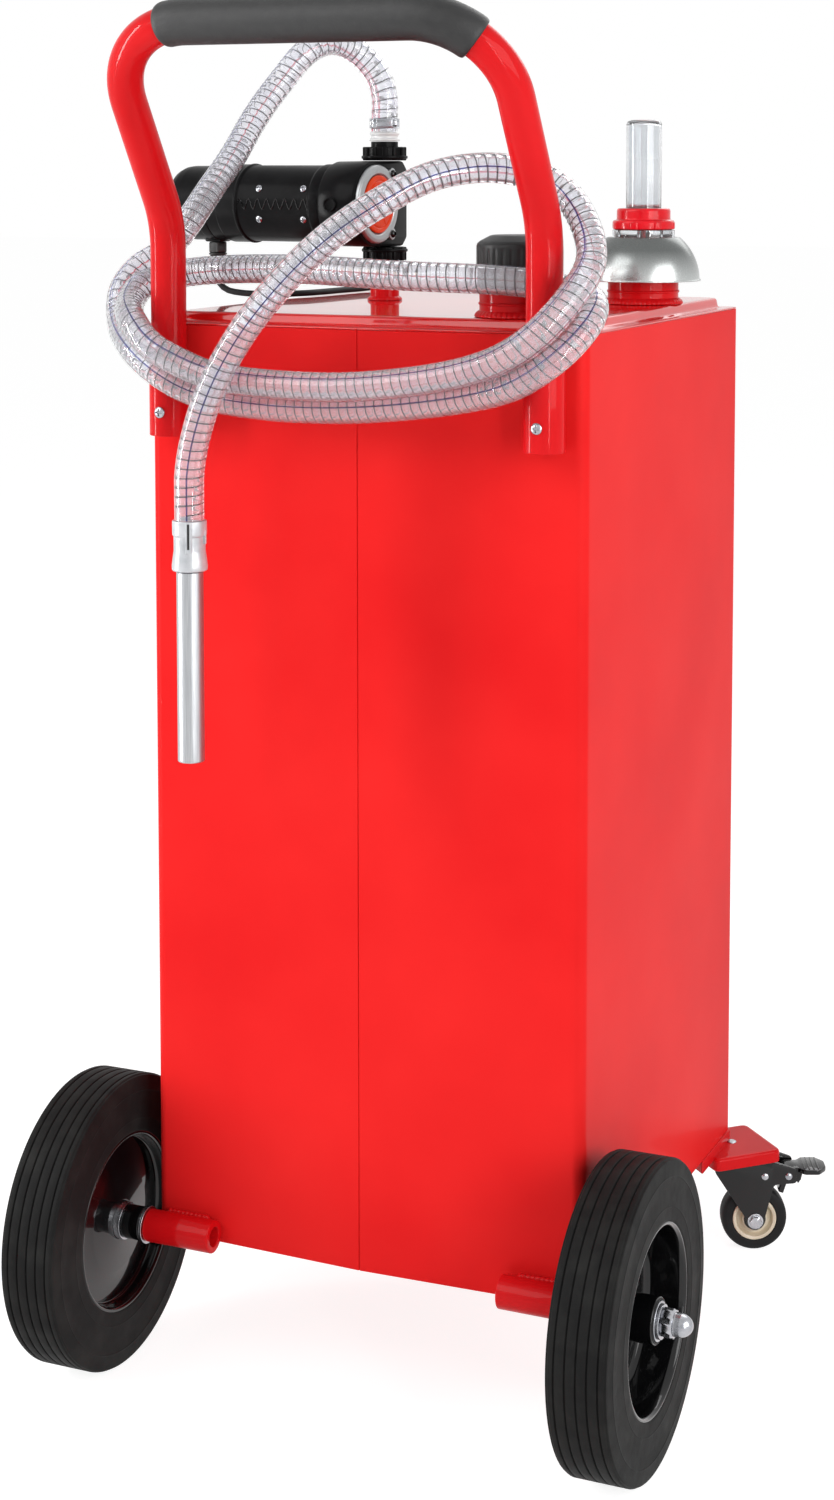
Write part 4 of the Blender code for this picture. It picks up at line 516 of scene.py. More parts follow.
def smoothRoute(route, step, fine=12):
    # a centripetal curve through the route's points, each a mix of its four neighbours by the root of their spacing
    points = np.array(route, float)
    points = np.concatenate([[2 * points[0] - points[1]], points, [2 * points[-1] - points[-2]]])
    four = [points[shift:len(points) - 3 + shift, None] for shift in range(4)]
    spans = [np.linalg.norm(b - a, axis=2) ** 0.5 for a, b in zip(four, four[1:])]
    knots = [0 * spans[0], spans[0], spans[0] + spans[1], spans[0] + spans[1] + spans[2]]
    t = knots[1] + (knots[2] - knots[1]) * np.linspace(0, 1, fine, endpoint=False)

    def mix(p, q, start, end):
        return p + (q - p) * ((t - knots[start]) / (knots[end] - knots[start]))[..., None]

    ab, bc, cd = (mix(four[i], four[i + 1], i, i + 1) for i in range(3))
    line = mix(mix(ab, bc, 0, 2), mix(bc, cd, 1, 3), 1, 2).reshape(-1, 3)
    line = np.concatenate([line, points[-2:-1]])
    length = lengthOf(line)
    return alongPath(line, np.linspace(0, length, round(length / step) + 1))


def screwHead(radius, height, drive):
    # a low dome on rings and spokes, sunk inside a cross or a hexagon
    share = np.linspace(0, 1, 22)[:, None]
    turn = np.linspace(0, 2 * np.pi, 72, endpoint=False)[None]
    x, y = share * np.cos(turn), share * np.sin(turn)
    hexagon = share * np.cos(np.mod(turn, np.pi / 3) - np.pi / 6) < 0.5
    cross = (np.minimum(abs(x), abs(y)) < 0.13) & (share < 0.62)
    z = height * (np.sqrt(1 - 0.9 * share ** 2) - 0.55 * (cross if drive == "cross" else hexagon))
    circles = np.stack([x * radius, y * radius, z], -1)
    return ringed(np.concatenate([circles, circles[-1:] * (1, 1, 0)]), (False, True))


# hose and cable run where their solids lie
hoseRoute = mm(
    (-88, 245, 1085.9), (-88, 245, 1100), (-88, 245, 1117), (-95, 245, 1138), (-112, 235, 1160), (-126, 214, 1168),
    (-140, 189, 1158), (-157, 171, 1131), (-169, 145, 1100), (-176, 112, 1063), (-180, 74, 1032), (-189, 46, 1001),
    (-204, 37, 980), (-222, 24, 966), (-230, 9, 947), (-224, -5, 923), (-186, -46, 899), (-159, -51, 881),
    (-129, -49, 867), (-73, -45, 858), (17, -44, 858), (121, -47, 872), (163, -55, 885), (196, -51, 908),
    (210, -24, 933), (202, 3, 947), (177, 13, 955), (144, 4, 961), (41, -8, 965), (-72, 9, 968), (-173, 32, 963),
    (-195, 21, 958), (-206, 1, 952), (-205, -21, 939), (-182, -58, 925), (-159, -68, 906), (-135, -65, 893),
    (-106, -64, 883), (-63, -65, 878), (27, -65, 878), (129, -66, 895), (173, -69, 916), (202, -50, 950),
    (211, -23, 981), (195, 0, 1013), (170, 11, 1038), (143, 8, 1049), (114, -8, 1053), (79, -32, 1046),
    (44, -57, 1025), (7, -75, 997), (-30, -84, 961), (-65, -89, 918), (-91, -91, 873), (-105, -91, 835),
    (-112, -89, 805), (-113, -88, 790), (-113, -88, 766))
cableRoute = mm(
    (-254.55, 229.32, 961.3), (-254.6, 229.3, 950), (-254.6, 229.3, 946), (-247, 230, 938), (-230, 231, 934.5),
    (-195, 240, 933.8), (-180, 262, 933.8), (-175, 290, 933.8), (-172, 330, 933.8), (-168, 375, 933.8),
    (-165, 405, 934.5), (-163, 424, 932.2), (-161, 437, 921), (-158, 440, 900), (-150, 436, 850),
    (-136, 432.5, 760), (-120, 432.5, 650), (-102, 432.5, 530), (-84, 432.5, 410), (-67, 432.5, 290),
    (-54, 434, 180), (-45, 440, 100), (-38, 452, 45), (-30, 467, 14), (-21, 481, 4.5))
coilLook = dict(centre=(-0.060, 0.570), radius=0.085, pitch=0.0074, turnsIn=2, climb=0.5, start=-45, tail=0.046,
                tieAt=160)
cableLook = dict(radius=0.003, floor=0.0033, layer=0.0075, step=0.006, lead=(0.0243, 0.0063, 0.003))


def makeHose():
    look = hoseLook
    path = smoothRoute(hoseRoute, look["step"])
    start = np.linspace(0, lengthOf(path), len(path))
    radius = look["radius"] + look["flare"] * np.clip(1 - start / look["flareLength"], 0, 1)
    points, quads, _ = tube(path, radius, look["sides"], look["radius"] - look["wall"])
    row, column = quads // look["sides"], quads % look["sides"]
    along = np.concatenate([start, start[::-1]])[row]
    around = (column[:, :1] + np.array([0, 0, 1, 1])) / look["sides"]
    hose = piece("hose", [(points, quads, [])], "clearHose",
                 lay=np.stack([around + 0 * along, along], -1).reshape(-1, 2))
    run = np.arange(look["step"], start[-1] - look["step"], look["pitch"] / look["perTurn"])
    turn = 2 * np.pi * run[:, None] / look["pitch"]
    spot = alongPath(path, run)
    normal, binormal = tubeFrames(spot)
    helix = spot + (look["radius"] - look["wireDepth"]) * (np.cos(turn) * normal + np.sin(turn) * binormal)
    return hose, piece("hose_wire", [tube(helix, look["wire"], 5)], "springWire"), path


def coilPoints(fine=40):
    # it winds in on the floor, climbs a layer, and winds out again
    look = coilLook
    total = 2 * look["turnsIn"] + look["climb"]
    turns = np.arange(round(total * fine) + 1) / fine
    angle = math.radians(look["start"]) + 2 * np.pi * turns
    radius = look["radius"] - look["pitch"] * np.minimum(turns, total - turns)
    climb = np.clip((turns - look["turnsIn"]) / look["climb"], 0, 1)
    height = cableLook["floor"] + cableLook["layer"] * climb ** 2 * (3 - 2 * climb)
    x, y = look["centre"]
    return np.stack([x + radius * np.cos(angle), y + radius * np.sin(angle), height], -1)


def makePlug(foot, away):
    line = mm((0, 0), (5.2, 0), (6, 3), (6.4, 10), (9.8, 15), (10.5, 18),
              *((10.5, height) for height in np.linspace(19.5, 48.5, 9)),
              (10.5, 50), (9.8, 55), (4.2, 55.6), (4.2, 60), (3.6, 63), (0, 63))

    def grips(reach, height, turn):
        held = (height > 0.020) & (height < 0.048) & (reach > 0.010)
        return reach - 0.0005 * held * (np.sin(turn * 12) > 0.3), height

    stand = onAxis(tuple(away), tuple(foot + away * 0.0003))
    springs = [moved(block((0.0016, 0.0040, 0.016), 0.0005), stand @ spun(angle) @ place(0.0102, 0, 0.035))
               for angle in (0, 180)]
    plug = lathe("cable_plug", stand, "blackPlastic", line, 72, False, 0.0006, 4, grips)
    tip = turned(mm((0, 63), (2.4, 63.4), (2.2, 64.5), (0, 64.8)), 24)
    return plug, piece("plug_contacts", [*springs, moved(tip, stand)], "brightSteel")


def makeTie():
    angle = math.radians(coilLook["tieAt"])
    x, y = coilLook["centre"]
    radial, tangent = (math.cos(angle), math.sin(angle), 0), (-math.sin(angle), math.cos(angle), 0)
    middle = coilLook["radius"] - coilLook["pitch"] * 1.05
    outer = softened(mm((-12.6, 0.4), (12.6, 0.4), (12.6, 15), (-12.6, 15)), 0.0052, 9, True)
    inner = inward(outer, 0.0011)
    levels = [flatRing(line, high) for line, high in ((outer, -0.005), (outer, 0.005), (inner, 0.005),
                                                      (inner, -0.005))]
    stand = axes(radial, up, tangent, (x + radial[0] * middle, y + radial[1] * middle, 0))
    lock = moved(block((0.010, 0.0022, 0.0112), 0.0006), stand @ place(0.004, 0.0157, 0))
    return piece("coil_tie", [moved(ringed(levels, (False, False), True), stand), lock], "blackPlastic")


def makeCable():
    loops = coilPoints()
    start = math.radians(coilLook["start"])
    into = np.array([-math.sin(start), math.cos(start), 0])
    away = (loops[-1] - loops[-2]) * (1, 1, 0)
    away /= np.linalg.norm(away)
    end = loops[-1] + away * coilLook["tail"]
    first, second, third = (loops[0] - into * before for before in cableLook["lead"])
    lead = smoothRoute([*cableRoute, first, second], cableLook["step"])
    tail = alongPath(np.array([loops[-1], end]), mm(15, 30, 45.5))
    path = np.concatenate([lead, [third], loops, tail, [end]])
    cable = piece("power_cable", [tube(path, cableLook["radius"], 12)], "blackRubber", also=["cable_coil"])
    relief = softened(mm((3.4, -12.6), (3.6, -13), (4, -11.8), (4.4, -9.2), (4, -8.8), (4.9, -6.2), (4.5, -5.8),
                         (5.6, -3), (5.2, -2.6), (6.2, 0.6), (3.1, 0.6), (3.1, -12.6)), 0.0002, 3, True)
    relief = lathe("cable_relief", place(*cableRoute[0]), "blackRubber", relief, 32, True)
    return cable, path, [relief, *makePlug(end, away), makeTie()]


def makeCoupling():
    x, y, end = hoseRoute[-1]
    stand, facing = place(x, y, end), math.radians(-66)
    grip = mm((10.2, -41.8), (12.2, -42.3), (14.6, -41.5), (14.8, -38), (13.8, -30), (13.1, -25.5), (13.1, -13.5),
              (14, -12.5), (14.2, -11.2), (14.2, -0.8), (13.6, -0.3), (10.2, -0.3))

    def bar(turn, size, bevel, reach, height):
        spoke, beside = (math.cos(turn), math.sin(turn), 0), (-math.sin(turn), math.cos(turn), 0)
        return moved(block(size, bevel), stand @ axes(spoke, beside, up, (spoke[0] * reach, spoke[1] * reach, height)))

    bars = [bar(facing, (0.0016, 0.0052, 0.026), 0.0005, 0.0139, -0.0135),
            bar(facing + 1.25, (0.0012, 0.0030, 0.012), 0.0005, 0.0139, -0.0135)]
    coupling = lathe("nozzle_coupling", stand, "greyPlastic", grip, 64, True, 0.0008, extra=bars)
    # no slot is cut: a thin black strip on the rib is painted shade standing in for the slot's shaded inside
    slot = bar(facing, (0.0010, 0.0018, 0.021), 0.0003, 0.01465, -0.0125)
    piece("coupling_slot", [slot], "blackPlastic")
    return coupling


def makeCords():
    hose, wire, hosePath = makeHose()
    cable, cablePath, ends = makeCable()
    makeCoupling()
    print(f"cords: hose {lengthOf(hosePath):.3f} m, cable {lengthOf(cablePath):.3f} m")


makeCords()

tankLook = dict(width=0.398, depth=0.428, bottom=0.116, rim=0.9192, top=0.921, lid=0.930, sheet=0.0015,
                crease=0.006, corner=0.010, ledge=0.013, lidCorner=0.016, neckDrop=0.012, neckBead=0.0040)
# x, y, radius, wall and height above the lid
necks = dict(filler_neck=(0.121, 0.050, 0.0320, 0.0020, 0.038), gauge_neck=(0.151, 0.285, 0.0320, 0.0020, 0.034),
             standpipe=(-0.088, 0.245, 0.01335, 0.00285, 0.0292))


def panelOutline(width, depth, corner, crease=0.0, steps=12):
    # anticlockwise: four quarter circles, and between them points near the ends of each side; the back panel
    # is bent out in its middle by the crease
    halfX, halfY = width / 2 - corner, depth / 2 - corner
    turn = np.radians(90) * np.arange(-1, 3)[:, None] + np.linspace(0, np.pi / 2, steps + 1)
    x = np.array([[1], [1], [-1], [-1]]) * halfX + corner * np.cos(turn)
    y = tankLook["depth"] / 2 + np.array([[-1], [1], [1], [-1]]) * halfY + corner * np.sin(turn)
    corners = np.stack([x, y], -1)
    share = np.array([0.012, 0.3, 0.4940, 0.4985, 0.5, 0.5015, 0.5060, 0.7, 0.988])[None, :, None]
    here, after = corners[:, -1:], np.roll(corners[:, :1], -1, 0)
    rows = here + (after - here) * share
    rows[3, :, 1] -= crease * (1 - np.abs(2 * share[0, :, 0] - 1))
    rows[3, 4, 1] += 0.2 * crease
    return np.concatenate([corners, rows], 1).reshape(-1, 2)


def holedFace(outline, height, holes, count=64):
    # a flat face inside an outline, less round holes given by their middles and radii
    turn = np.linspace(0, 2 * np.pi, count, endpoint=False)
    loops = [outline] + [np.column_stack([x + r * np.cos(turn), y + r * np.sin(turn)]) for x, y, r in holes]
    loops = [flatRing(loop, height) for loop in loops]
    faces = tessellate_polygon([[Vector(point) for point in loop] for loop in loops])
    return np.concatenate(loops), np.zeros((0, 4), int), [list(face) for face in faces]


def makeTank():
    look = tankLook
    wrap = panelOutline(look["width"], look["depth"], look["corner"], look["crease"])
    sheet, rim, bottom, top, lid = (look[key] for key in ("sheet", "rim", "bottom", "top", "lid"))
    shell = [*rings(wrap, bottom, (1.6, 0), (0.4, 0.4), (0, 1.6), (0, 6)), *rings(wrap, 0, (0, 400), (0, 700)),
             *rings(wrap, rim, (0, -5), (0, -0.4), (0.4, 0), (1.5, 0)), *rings(wrap, bottom, (1.5, 1.5))]
    piece("tank_shell", [ringed(shell)], "redPaint")

    crown = panelOutline(look["width"] - 2 * look["ledge"], look["depth"] - 2 * look["ledge"], look["lidCorner"])
    holes = [(x, y, radius + 0.0003) for x, y, radius, _, _ in necks.values()]
    over = [*rings(crown, lid, (9, 0), (4.2, 0), (2.2, -0.4), (1, -1.4), (0.4, -3.2)),
            *rings(crown, top, (0, 3.4), (-0.7, 1.3), (-2.2, 0.3), (-4.5, 0)),
            *rings(wrap, top, (4.6, 0), (1.2, 0), (0.3, -0.3), (0, -0.8), (0.3, -1.5), (4, -1.5)),
            *rings(crown, top, (-4, -1.5), (1.8, -1.1)), *rings(crown, lid, (3, -4), (4.6, -1.5), (9, -1.5))]
    inner = inward(crown, 0.009)
    walls = [moved(turned([(r, lid), (r, lid - sheet)]), place(x, y, 0)) for x, y, r in holes]
    piece("tank_top", [ringed(over, (False, False)), holedFace(inner, lid, holes),
                       holedFace(inner, lid - sheet, holes), *walls], "redGloss")

    for name, (x, y, radius, wall, height) in necks.items():
        foot, head, wide = -look["neckDrop"], height, radius > 0.02
        line = [(radius, head), (radius, 0.014), (radius, 0.008), (radius, foot), (radius - wall, foot),
                (radius - wall, head)]
        ridge = (radius, 0) + mm((-0.8, 9.8), (0.6, 10.4), (1, 11.4), (0.6, 12.4), (-0.8, 13))
        stand = place(x, y, lid)
        weld = moved(ringBead(radius, look["neckBead"] * (1 if wide else 0.7)), stand @ place(0, 0, 0.0002))
        lathe(name, stand, "redTubePaintedShade", line, 72, True, 0.0006,
              extra=[weld] + [moved(turned(ridge, 72, True, 0.0003), stand)] * wide)


makeTank()
print("tank made")

capLook = dict(place=(0.121, 0.050, 0.968), lobes=30, groove=0.0007)


def makeCap():
    line = mm((0, 30), (20.5, 29.8), (23.2, 29.2), (31.6, 24.8), (34, 22.6), (34.5, 20.6),
              *((34.5, height) for height in np.linspace(18, -12.5, 8)), (34.9, -13.2), (34.9, -16.4),
              (34.3, -17), (32.5, -17), (32.5, 3.6), (29, 3.6), (29, 24), (0, 24))

    def scallops(reach, height, turn):
        side = np.clip((0.0200 - height) / 0.004, 0, 1) * np.clip((height + 0.0125) / 0.003, 0, 1) * (reach > 0.034)
        return reach - capLook["groove"] * side * np.abs(np.sin(turn * capLook["lobes"] / 2)) ** 6, height

    lathe("filler_cap", place(*capLook["place"]), "blackPlastic", line, 240, False, 0.0009, 4, scallops, body="cap")


makeCap()
print("cap made")

# place in metres, radii and heights in millimetres
gaugeLook = dict(place=(0.151, 0.285, 0.930), sight=16, bore=13.8, top=165.5, stem=67, dome=60, collar=67.3, lugs=8)


def makeGauge():
    stand = place(*gaugeLook["place"])
    top, stem, sight, bore, dome, low = (gaugeLook[key] for key in ("top", "stem", "sight", "bore", "dome", "collar"))
    body = mm((0, top), (sight - 3.5, top), (sight - 1.2, top - 1), (sight, top - 3.4), (sight, stem + 1),
              (26.5, stem), (26.5, 58.2), (30.3, 58.2), (30.3, 37.3), (32, 37.3), (32, 34.3), (7, 34.3), (7, -410.7),
              (4, -410.7), (4, stem - 1), (bore, stem), (bore, top - 4.4), (bore - 1.8, top - 3.4), (0, top - 3.4))
    teeth = [moved(block((0.0022, 0.0022, 0.0066), 0.0006), stand @ spun(45 * step + 10) @ place(0.0272, 0, 0.0635))
             for step in range(8)]
    x, y, _ = gaugeLook["place"]
    ear = moved(block((0.012, 0.003, 0.037), 0.0008), place(x, y - 0.006, 0.5088))
    pin = moved(turned(mm((0, 0), (3, 0), (3, 11), (0, 11)), 24, False, 0.0003), onAxis(alongY, (x, y - 0.007, 0.4963)))
    lathe("gauge_body", stand, "clearPlastic", body, 72, False, 0.0007, extra=[*teeth, ear, pin])

    line = [*mm((26.8, dome)), *arc((0, 0.0210), 0.0510, 50, 1, 23),
            *mm((51.8, 22.6), (52.3, 21.8), (52.1, 20.9), (50.5, 20.8)), *arc((0, 0.0205), 0.0496, 1, 50, 23),
            *mm((26.8, dome - 1.5))]
    # the dome's finish holds a painted reflection, darker at the crown and paler at the rim
    lathe("gauge_dome", stand, "silverPaint", line, 96, True, 0.0003)

    def lugs(reach, height, turn):
        bump = np.clip((np.cos(turn * gaugeLook["lugs"]) - 0.55) / 0.2, 0, 1)
        return reach + 0.0011 * bump * (reach > 0.0272) * (height < 0.0740), height

    line = mm((16.3, low), (27.2, low), (28.1, low + 0.8), (28.1, low + 6.2), (27.4, low + 7.8), (24.6, low + 8.6),
              (24.3, low + 9.8), (24.3, low + 16.6), (23.6, low + 18.4), (22.2, low + 19), (16.3, low + 19))
    lathe("gauge_collar", stand, "redPlastic", line, 192, True, 0.0006, 4, lugs)
    line = mm((0, low + 8), (9, low + 8), (12, low + 6.6), (12, low + 1.2), (10.8, low), (2, low), (2, -400.7),
              (0, -400.7))
    lathe("gauge_indicator", stand, "redPlastic", line, 40, False, 0.0005, body="indicator")


makeGauge()
print("gauge made")

handleLook = dict(half=0.170, y=-0.0178, foot=0.8305, elbow=1.0076, top=1.1678, lean=32.5, bend=0.084,
                  corner=0.0735, tube=0.015, bore=0.0135, grip=0.0185, gripBore=0.0155, gripFrom=75, gripTo=45,
                  socket=(0.8265, 0.8925), screw=0.0205)


def cornerPoints(side, start, end, steps=26):
    # the quarter turn from one leaning leg into the top bar, angles in degrees from the leg
    look = handleLook
    lean = math.radians(look["lean"])
    along = np.array([0, -math.sin(lean), math.cos(lean)])
    reach = (look["top"] - look["elbow"]) / math.cos(lean) - look["corner"]
    origin = np.array([side * (look["half"] - look["corner"]), look["y"], look["elbow"]]) + along * reach
    turn = np.radians(np.linspace(start, end, steps))[:, None]
    return origin + look["corner"] * (np.sin(turn) * along + np.cos(turn) * np.array([side, 0, 0]))


def legPoints(side):
    look = handleLook
    drop = look["bend"] * math.tan(math.radians(look["lean"]) / 2)
    bend = arc((look["y"] - look["bend"], look["elbow"] - drop), look["bend"], 0, look["lean"], 20)
    x = side * look["half"]
    return np.concatenate([[(x, look["y"], look["foot"])], np.column_stack([np.full(len(bend), x), bend]),
                           cornerPoints(side, 0, 90)])


def makeHandle():
    look = handleLook
    path = np.concatenate([legPoints(-1), legPoints(1)[::-1]])
    piece("handle", [tube(path, look["tube"], 40, look["bore"])], "redTubePaintedShade")

    held = np.concatenate([cornerPoints(-1, look["gripFrom"], 90), cornerPoints(1, 90, look["gripTo"])])
    length = lengthOf(held)
    near = mm(0, 0.3, 0.9, 1.8, 3, 4.5, 6.5)
    spots = np.concatenate([near, np.arange(0.010, length - 0.009, 0.003), length - near[::-1]])
    edge = np.clip(1 - np.minimum(spots, length - spots) / 0.0045, 0, 1)
    radius = look["grip"] - 0.0022 * (1 - np.sqrt(1 - edge ** 2))
    piece("grip", [tube(alongPath(held, spots), radius, 48, look["gripBore"])], "blackFoam")

    for side, name in sides:
        x = side * look["half"]
        low, high = look["socket"]
        welds = [bead((x + beside, -0.0026, low + 0.004), (x + beside, -0.0026, high - 0.004), 0.0022)
                 for beside in (-0.0092, 0.0092)]
        lathe("handle_socket_" + name, place(x, look["y"], 0), "redTubePaintedShade",
              [(0.017, high), (0.017, low), (0.0153, low), (0.0153, high)], 48, True, 0.0007, extra=welds)
        seat = onAxis((0, -1, 0), (x, look["y"] - 0.0171, low + look["screw"]))
        shank = turned(mm((0, 0.2), (2.5, 0.2), (2.5, -10), (0, -10)), 24)
        piece("handle_screw_" + name, [moved(screwHead(0.0047, 0.0024, "cross"), seat), moved(shank, seat)],
              "brightSteel")


makeHandle()
print("handle made")

# lengths in metres but the grooves, in millimetres: their middles on the tread, half width and depth
wheelLook = dict(radius=0.127, axleY=-0.0160461, middle=0.245, grooves=(18, 9, 0, -9, -18), grooveHalf=0.5,
                 grooveDepth=1.6, lobes=5, lobeRise=0.0030)


def tyreLine():
    # bore, sidewall with two fine raised rings, shoulder, then the tread with its grooves
    outer, half, deep = wheelLook["radius"] * 1000, wheelLook["grooveHalf"], wheelLook["grooveDepth"]
    side = mm((75.2, 21.5), (75.6, 23.6), (76.8, 25), (79, 25.8), (88, 26), (88.8, 26.3), (89.6, 26), (103, 25.7),
              (112, 25.9), (112.8, 26.3), (113.6, 25.9), (120.5, 25.3), (125.2, 25), (125.8, 24.6), (125.8, 23.2),
              (outer, 22.4))
    tread = [mm((outer, middle + half + 0.4), (outer - deep, middle + half), (outer - deep, middle - half),
                (outer, middle - half - 0.4)) for middle in wheelLook["grooves"]]
    return np.concatenate([side, *tread, side[::-1] * (1, -1)])


def rimLine():
    web = np.stack([np.linspace(0.0370, 0.0690, 20), np.linspace(-0.0146, -0.0106, 20)], -1)
    outside = mm((16.3, 25), (17, 25.8), (18.2, 25.8), (19, 25), (19, -9.8), (21.4, -10), (22, -10.6), (22.4, -13.2),
                 (27.6, -13.4), (28.2, -14), (28.6, -15.4), (35, -15.2))
    inside = mm((71.2, -8.6), (72.6, -5), (72.7, 19.5), (73.6, 23.6), (75, 25.4), (76.6, 25.6), (77.4, 24.6),
                (76.4, 23.8), (74.9, 22.8), (74.7, 20), (74.7, -20), (74.9, -22.8), (76.4, -23.8), (77.4, -24.6),
                (76.6, -25.6), (75, -25.4), (73.6, -23.6), (72.7, -19.5), (72.6, -15), (71.2, -12.6), (45, -16.6),
                (18.5, -19), (16.3, -19))
    return np.concatenate([outside, web, inside])


def collar(radius, start, end, bore=8.3):
    # a ring's section in millimetres, from one distance along its axis to another
    return mm((radius, start), (radius, end), (bore, end), (bore, start))


def makeWheel(side, name):
    look = wheelLook
    axle = onAxis((side, 0, 0), (0, look["axleY"], look["radius"]))
    centre = onAxis((side, 0, 0), (side * look["middle"], look["axleY"], look["radius"]))
    body = "wheel_" + name

    welds = [bead((side * 0.144, -0.0042, look["radius"] + rise), (side * 0.188, -0.0032, look["radius"] + rise),
                  0.0030) for rise in (0.0100, -0.0085)]
    lathe("axle_tube_" + name, axle, "redTubePaintedShade", collar(14, 198, 134), 48, True, 0.0010, extra=welds)
    washers = [moved(turned(collar(radius, start, start + 1.8), 48, True, 0.0003), axle)
               for radius, start in ((16, 198.3), (15.2, 200.3))]
    piece("axle_washers_" + name, washers, "brightSteel")
    lathe("wheel_spacer_" + name, axle, "blackEnamel", collar(14.5, 202.4, 219.5), 48, True, 0.0009)
    lathe("wheel_tyre_" + name, centre, "tyreRubber", tyreLine(), 160, True, 0.0004, 3, body=body, sharp=50)

    def lobes(reach, height, turn):
        ring = np.clip((reach - 0.0375) / 0.007, 0, 1) * np.clip((0.0685 - reach) / 0.008, 0, 1)
        pad = np.clip((np.cos(turn * look["lobes"]) + 0.35) / 0.5, 0, 1)
        front = (height > -0.0150) & (height < -0.0100)
        return reach, height + look["lobeRise"] * front * (ring * pad) ** 0.8

    lathe("wheel_rim_" + name, centre, "blackEnamel", rimLine(), 160, True, 0.0006, 3, lobes, body=body)
    race = mm((16, 26.8), (16, -25), (8.5, -25), (8.5, 27.2), (10.8, 27.2), (11, 25.8), (13.6, 25.8), (13.8, 27.2),
              (15.6, 27.2))
    lathe("wheel_bearing_" + name, centre, "brightSteel", race, 64, True, 0.0003, body=body)
    seal = mm((11, 25.6), (13.6, 25.6), (13.6, 26.4), (12.3, 26.7), (11, 26.4))
    cuff = mm((16.4, 25.6), (18.2, 25.6), (18.1, 26.2), (16.5, 26.2))
    piece("bearing_seal_" + name, [moved(turned(line, 64, True, 0.0002), centre) for line in (seal, cuff)],
          "blackRubber", body)

    rise = np.radians(np.linspace(90, 0, 12))
    dome = np.stack([0.0094 * np.cos(rise), 0.2887 + 0.0110 * np.sin(rise)], -1)
    acorn = [*dome, *mm((9.6, 285.9), (9.8, 284.7), (0, 284.7))]
    washer = mm((0, 274.7), (13.8, 274.7), (14, 273.1), (13.8, 272.7), (0, 272.7))
    shank = mm((0, 272.7), (8, 272.7), (8, 151), (7.2, 150), (0, 150))
    lathe("axle_stud_" + name, axle, "brightSteel", acorn, 48, False, 0.0004,
          extra=[moved(turned(washer, 48, False, 0.0002), axle), moved(turned(shank, 32, False, 0.0002), axle),
                 moved(nut(0.0130, 0.0100), axle @ place(0, 0, 0.2747))])


for side, name in sides:
    makeWheel(side, name)
print("wheels made")

casterLook = dict(place=(0.202, 0.421), heading={1: 24, -1: 156}, pan=0.072, panCorner=0.008, panTop=0.105,
                  panRim=0.093, plateTop=0.1017, wheel=(0.022, 0, 0.032), pivot=(0.054, 0, 0.0765), pedalTurn=252)


def squareOutline(side, corner):
    half = side / 2
    return softened([(half, -half), (half, half), (-half, half), (-half, -half)], corner, 9, True)


def standing(outline, thickness, bevel, y):
    # a slab whose outline is drawn in x and z
    return moved(slab(outline, thickness, bevel), place(0, y, 0) @ spun(90, "X"))


def makeBracket(side, name):
    look = casterLook
    x, y = side * look["place"][0], look["place"][1]
    line = squareOutline(look["pan"], look["panCorner"])
    top, rim = look["panTop"], look["panRim"]
    levels = [*rings(line, top, (4.5, 0), (3, 0), (1.2, -0.6), (0.2, -2), (0, -3.4)),
              *rings(line, rim, (0, 0.6), (0.5, 0), (2.6, 0), (3, 0.6)),
              *rings(line, top, (3, -6), (4.2, -3.4), (6, -3))]
    stand = place(x, y, 0) @ spun(45)
    edge = side * 0.199
    riser = [(edge, 0.428), (edge, 0.336), (edge - side * 0.092, 0.428)][::-side]
    riser = moved(slab(softened(riser, 0.003, 5, True), 0.0122, 0.0004), place(0, 0, 0.1035))
    runs = (((0.004, 0.352), (0.004, 0.415)), ((0.070, 0.4255), (0.014, 0.4255)))
    welds = [bead(*((edge - side * inset, deep, 0.1050) for inset, deep in run), 0.0022) for run in runs]
    piece("caster_bracket_" + name, [moved(ringed(levels), stand), riser, *welds], "redTubePaintedShade")

    under = look["plateTop"]
    pin = mm((0, 106), (3.8, 106), (5, 105.4), (5, 88.5), (8, 88.5), (8, 87), (7.2, 86.5), (0, 86.5))
    shapes = [moved(slab(squareOutline(0.058, 0.006), 0.0025, 0.0004), stand @ place(0, 0, under - 0.0025)),
              moved(turned(pin, 32, False, 0.0002), place(x, y, 0))]
    shapes += [moved(nut(0.0052, 0.0030, 0.0005, 36), stand @ place(beside * 0.0215, deep * 0.0215, under - 0.0054))
               for beside in (-1, 1) for deep in (-1, 1)]
    piece("caster_plate_" + name, shapes, "brightSteel")


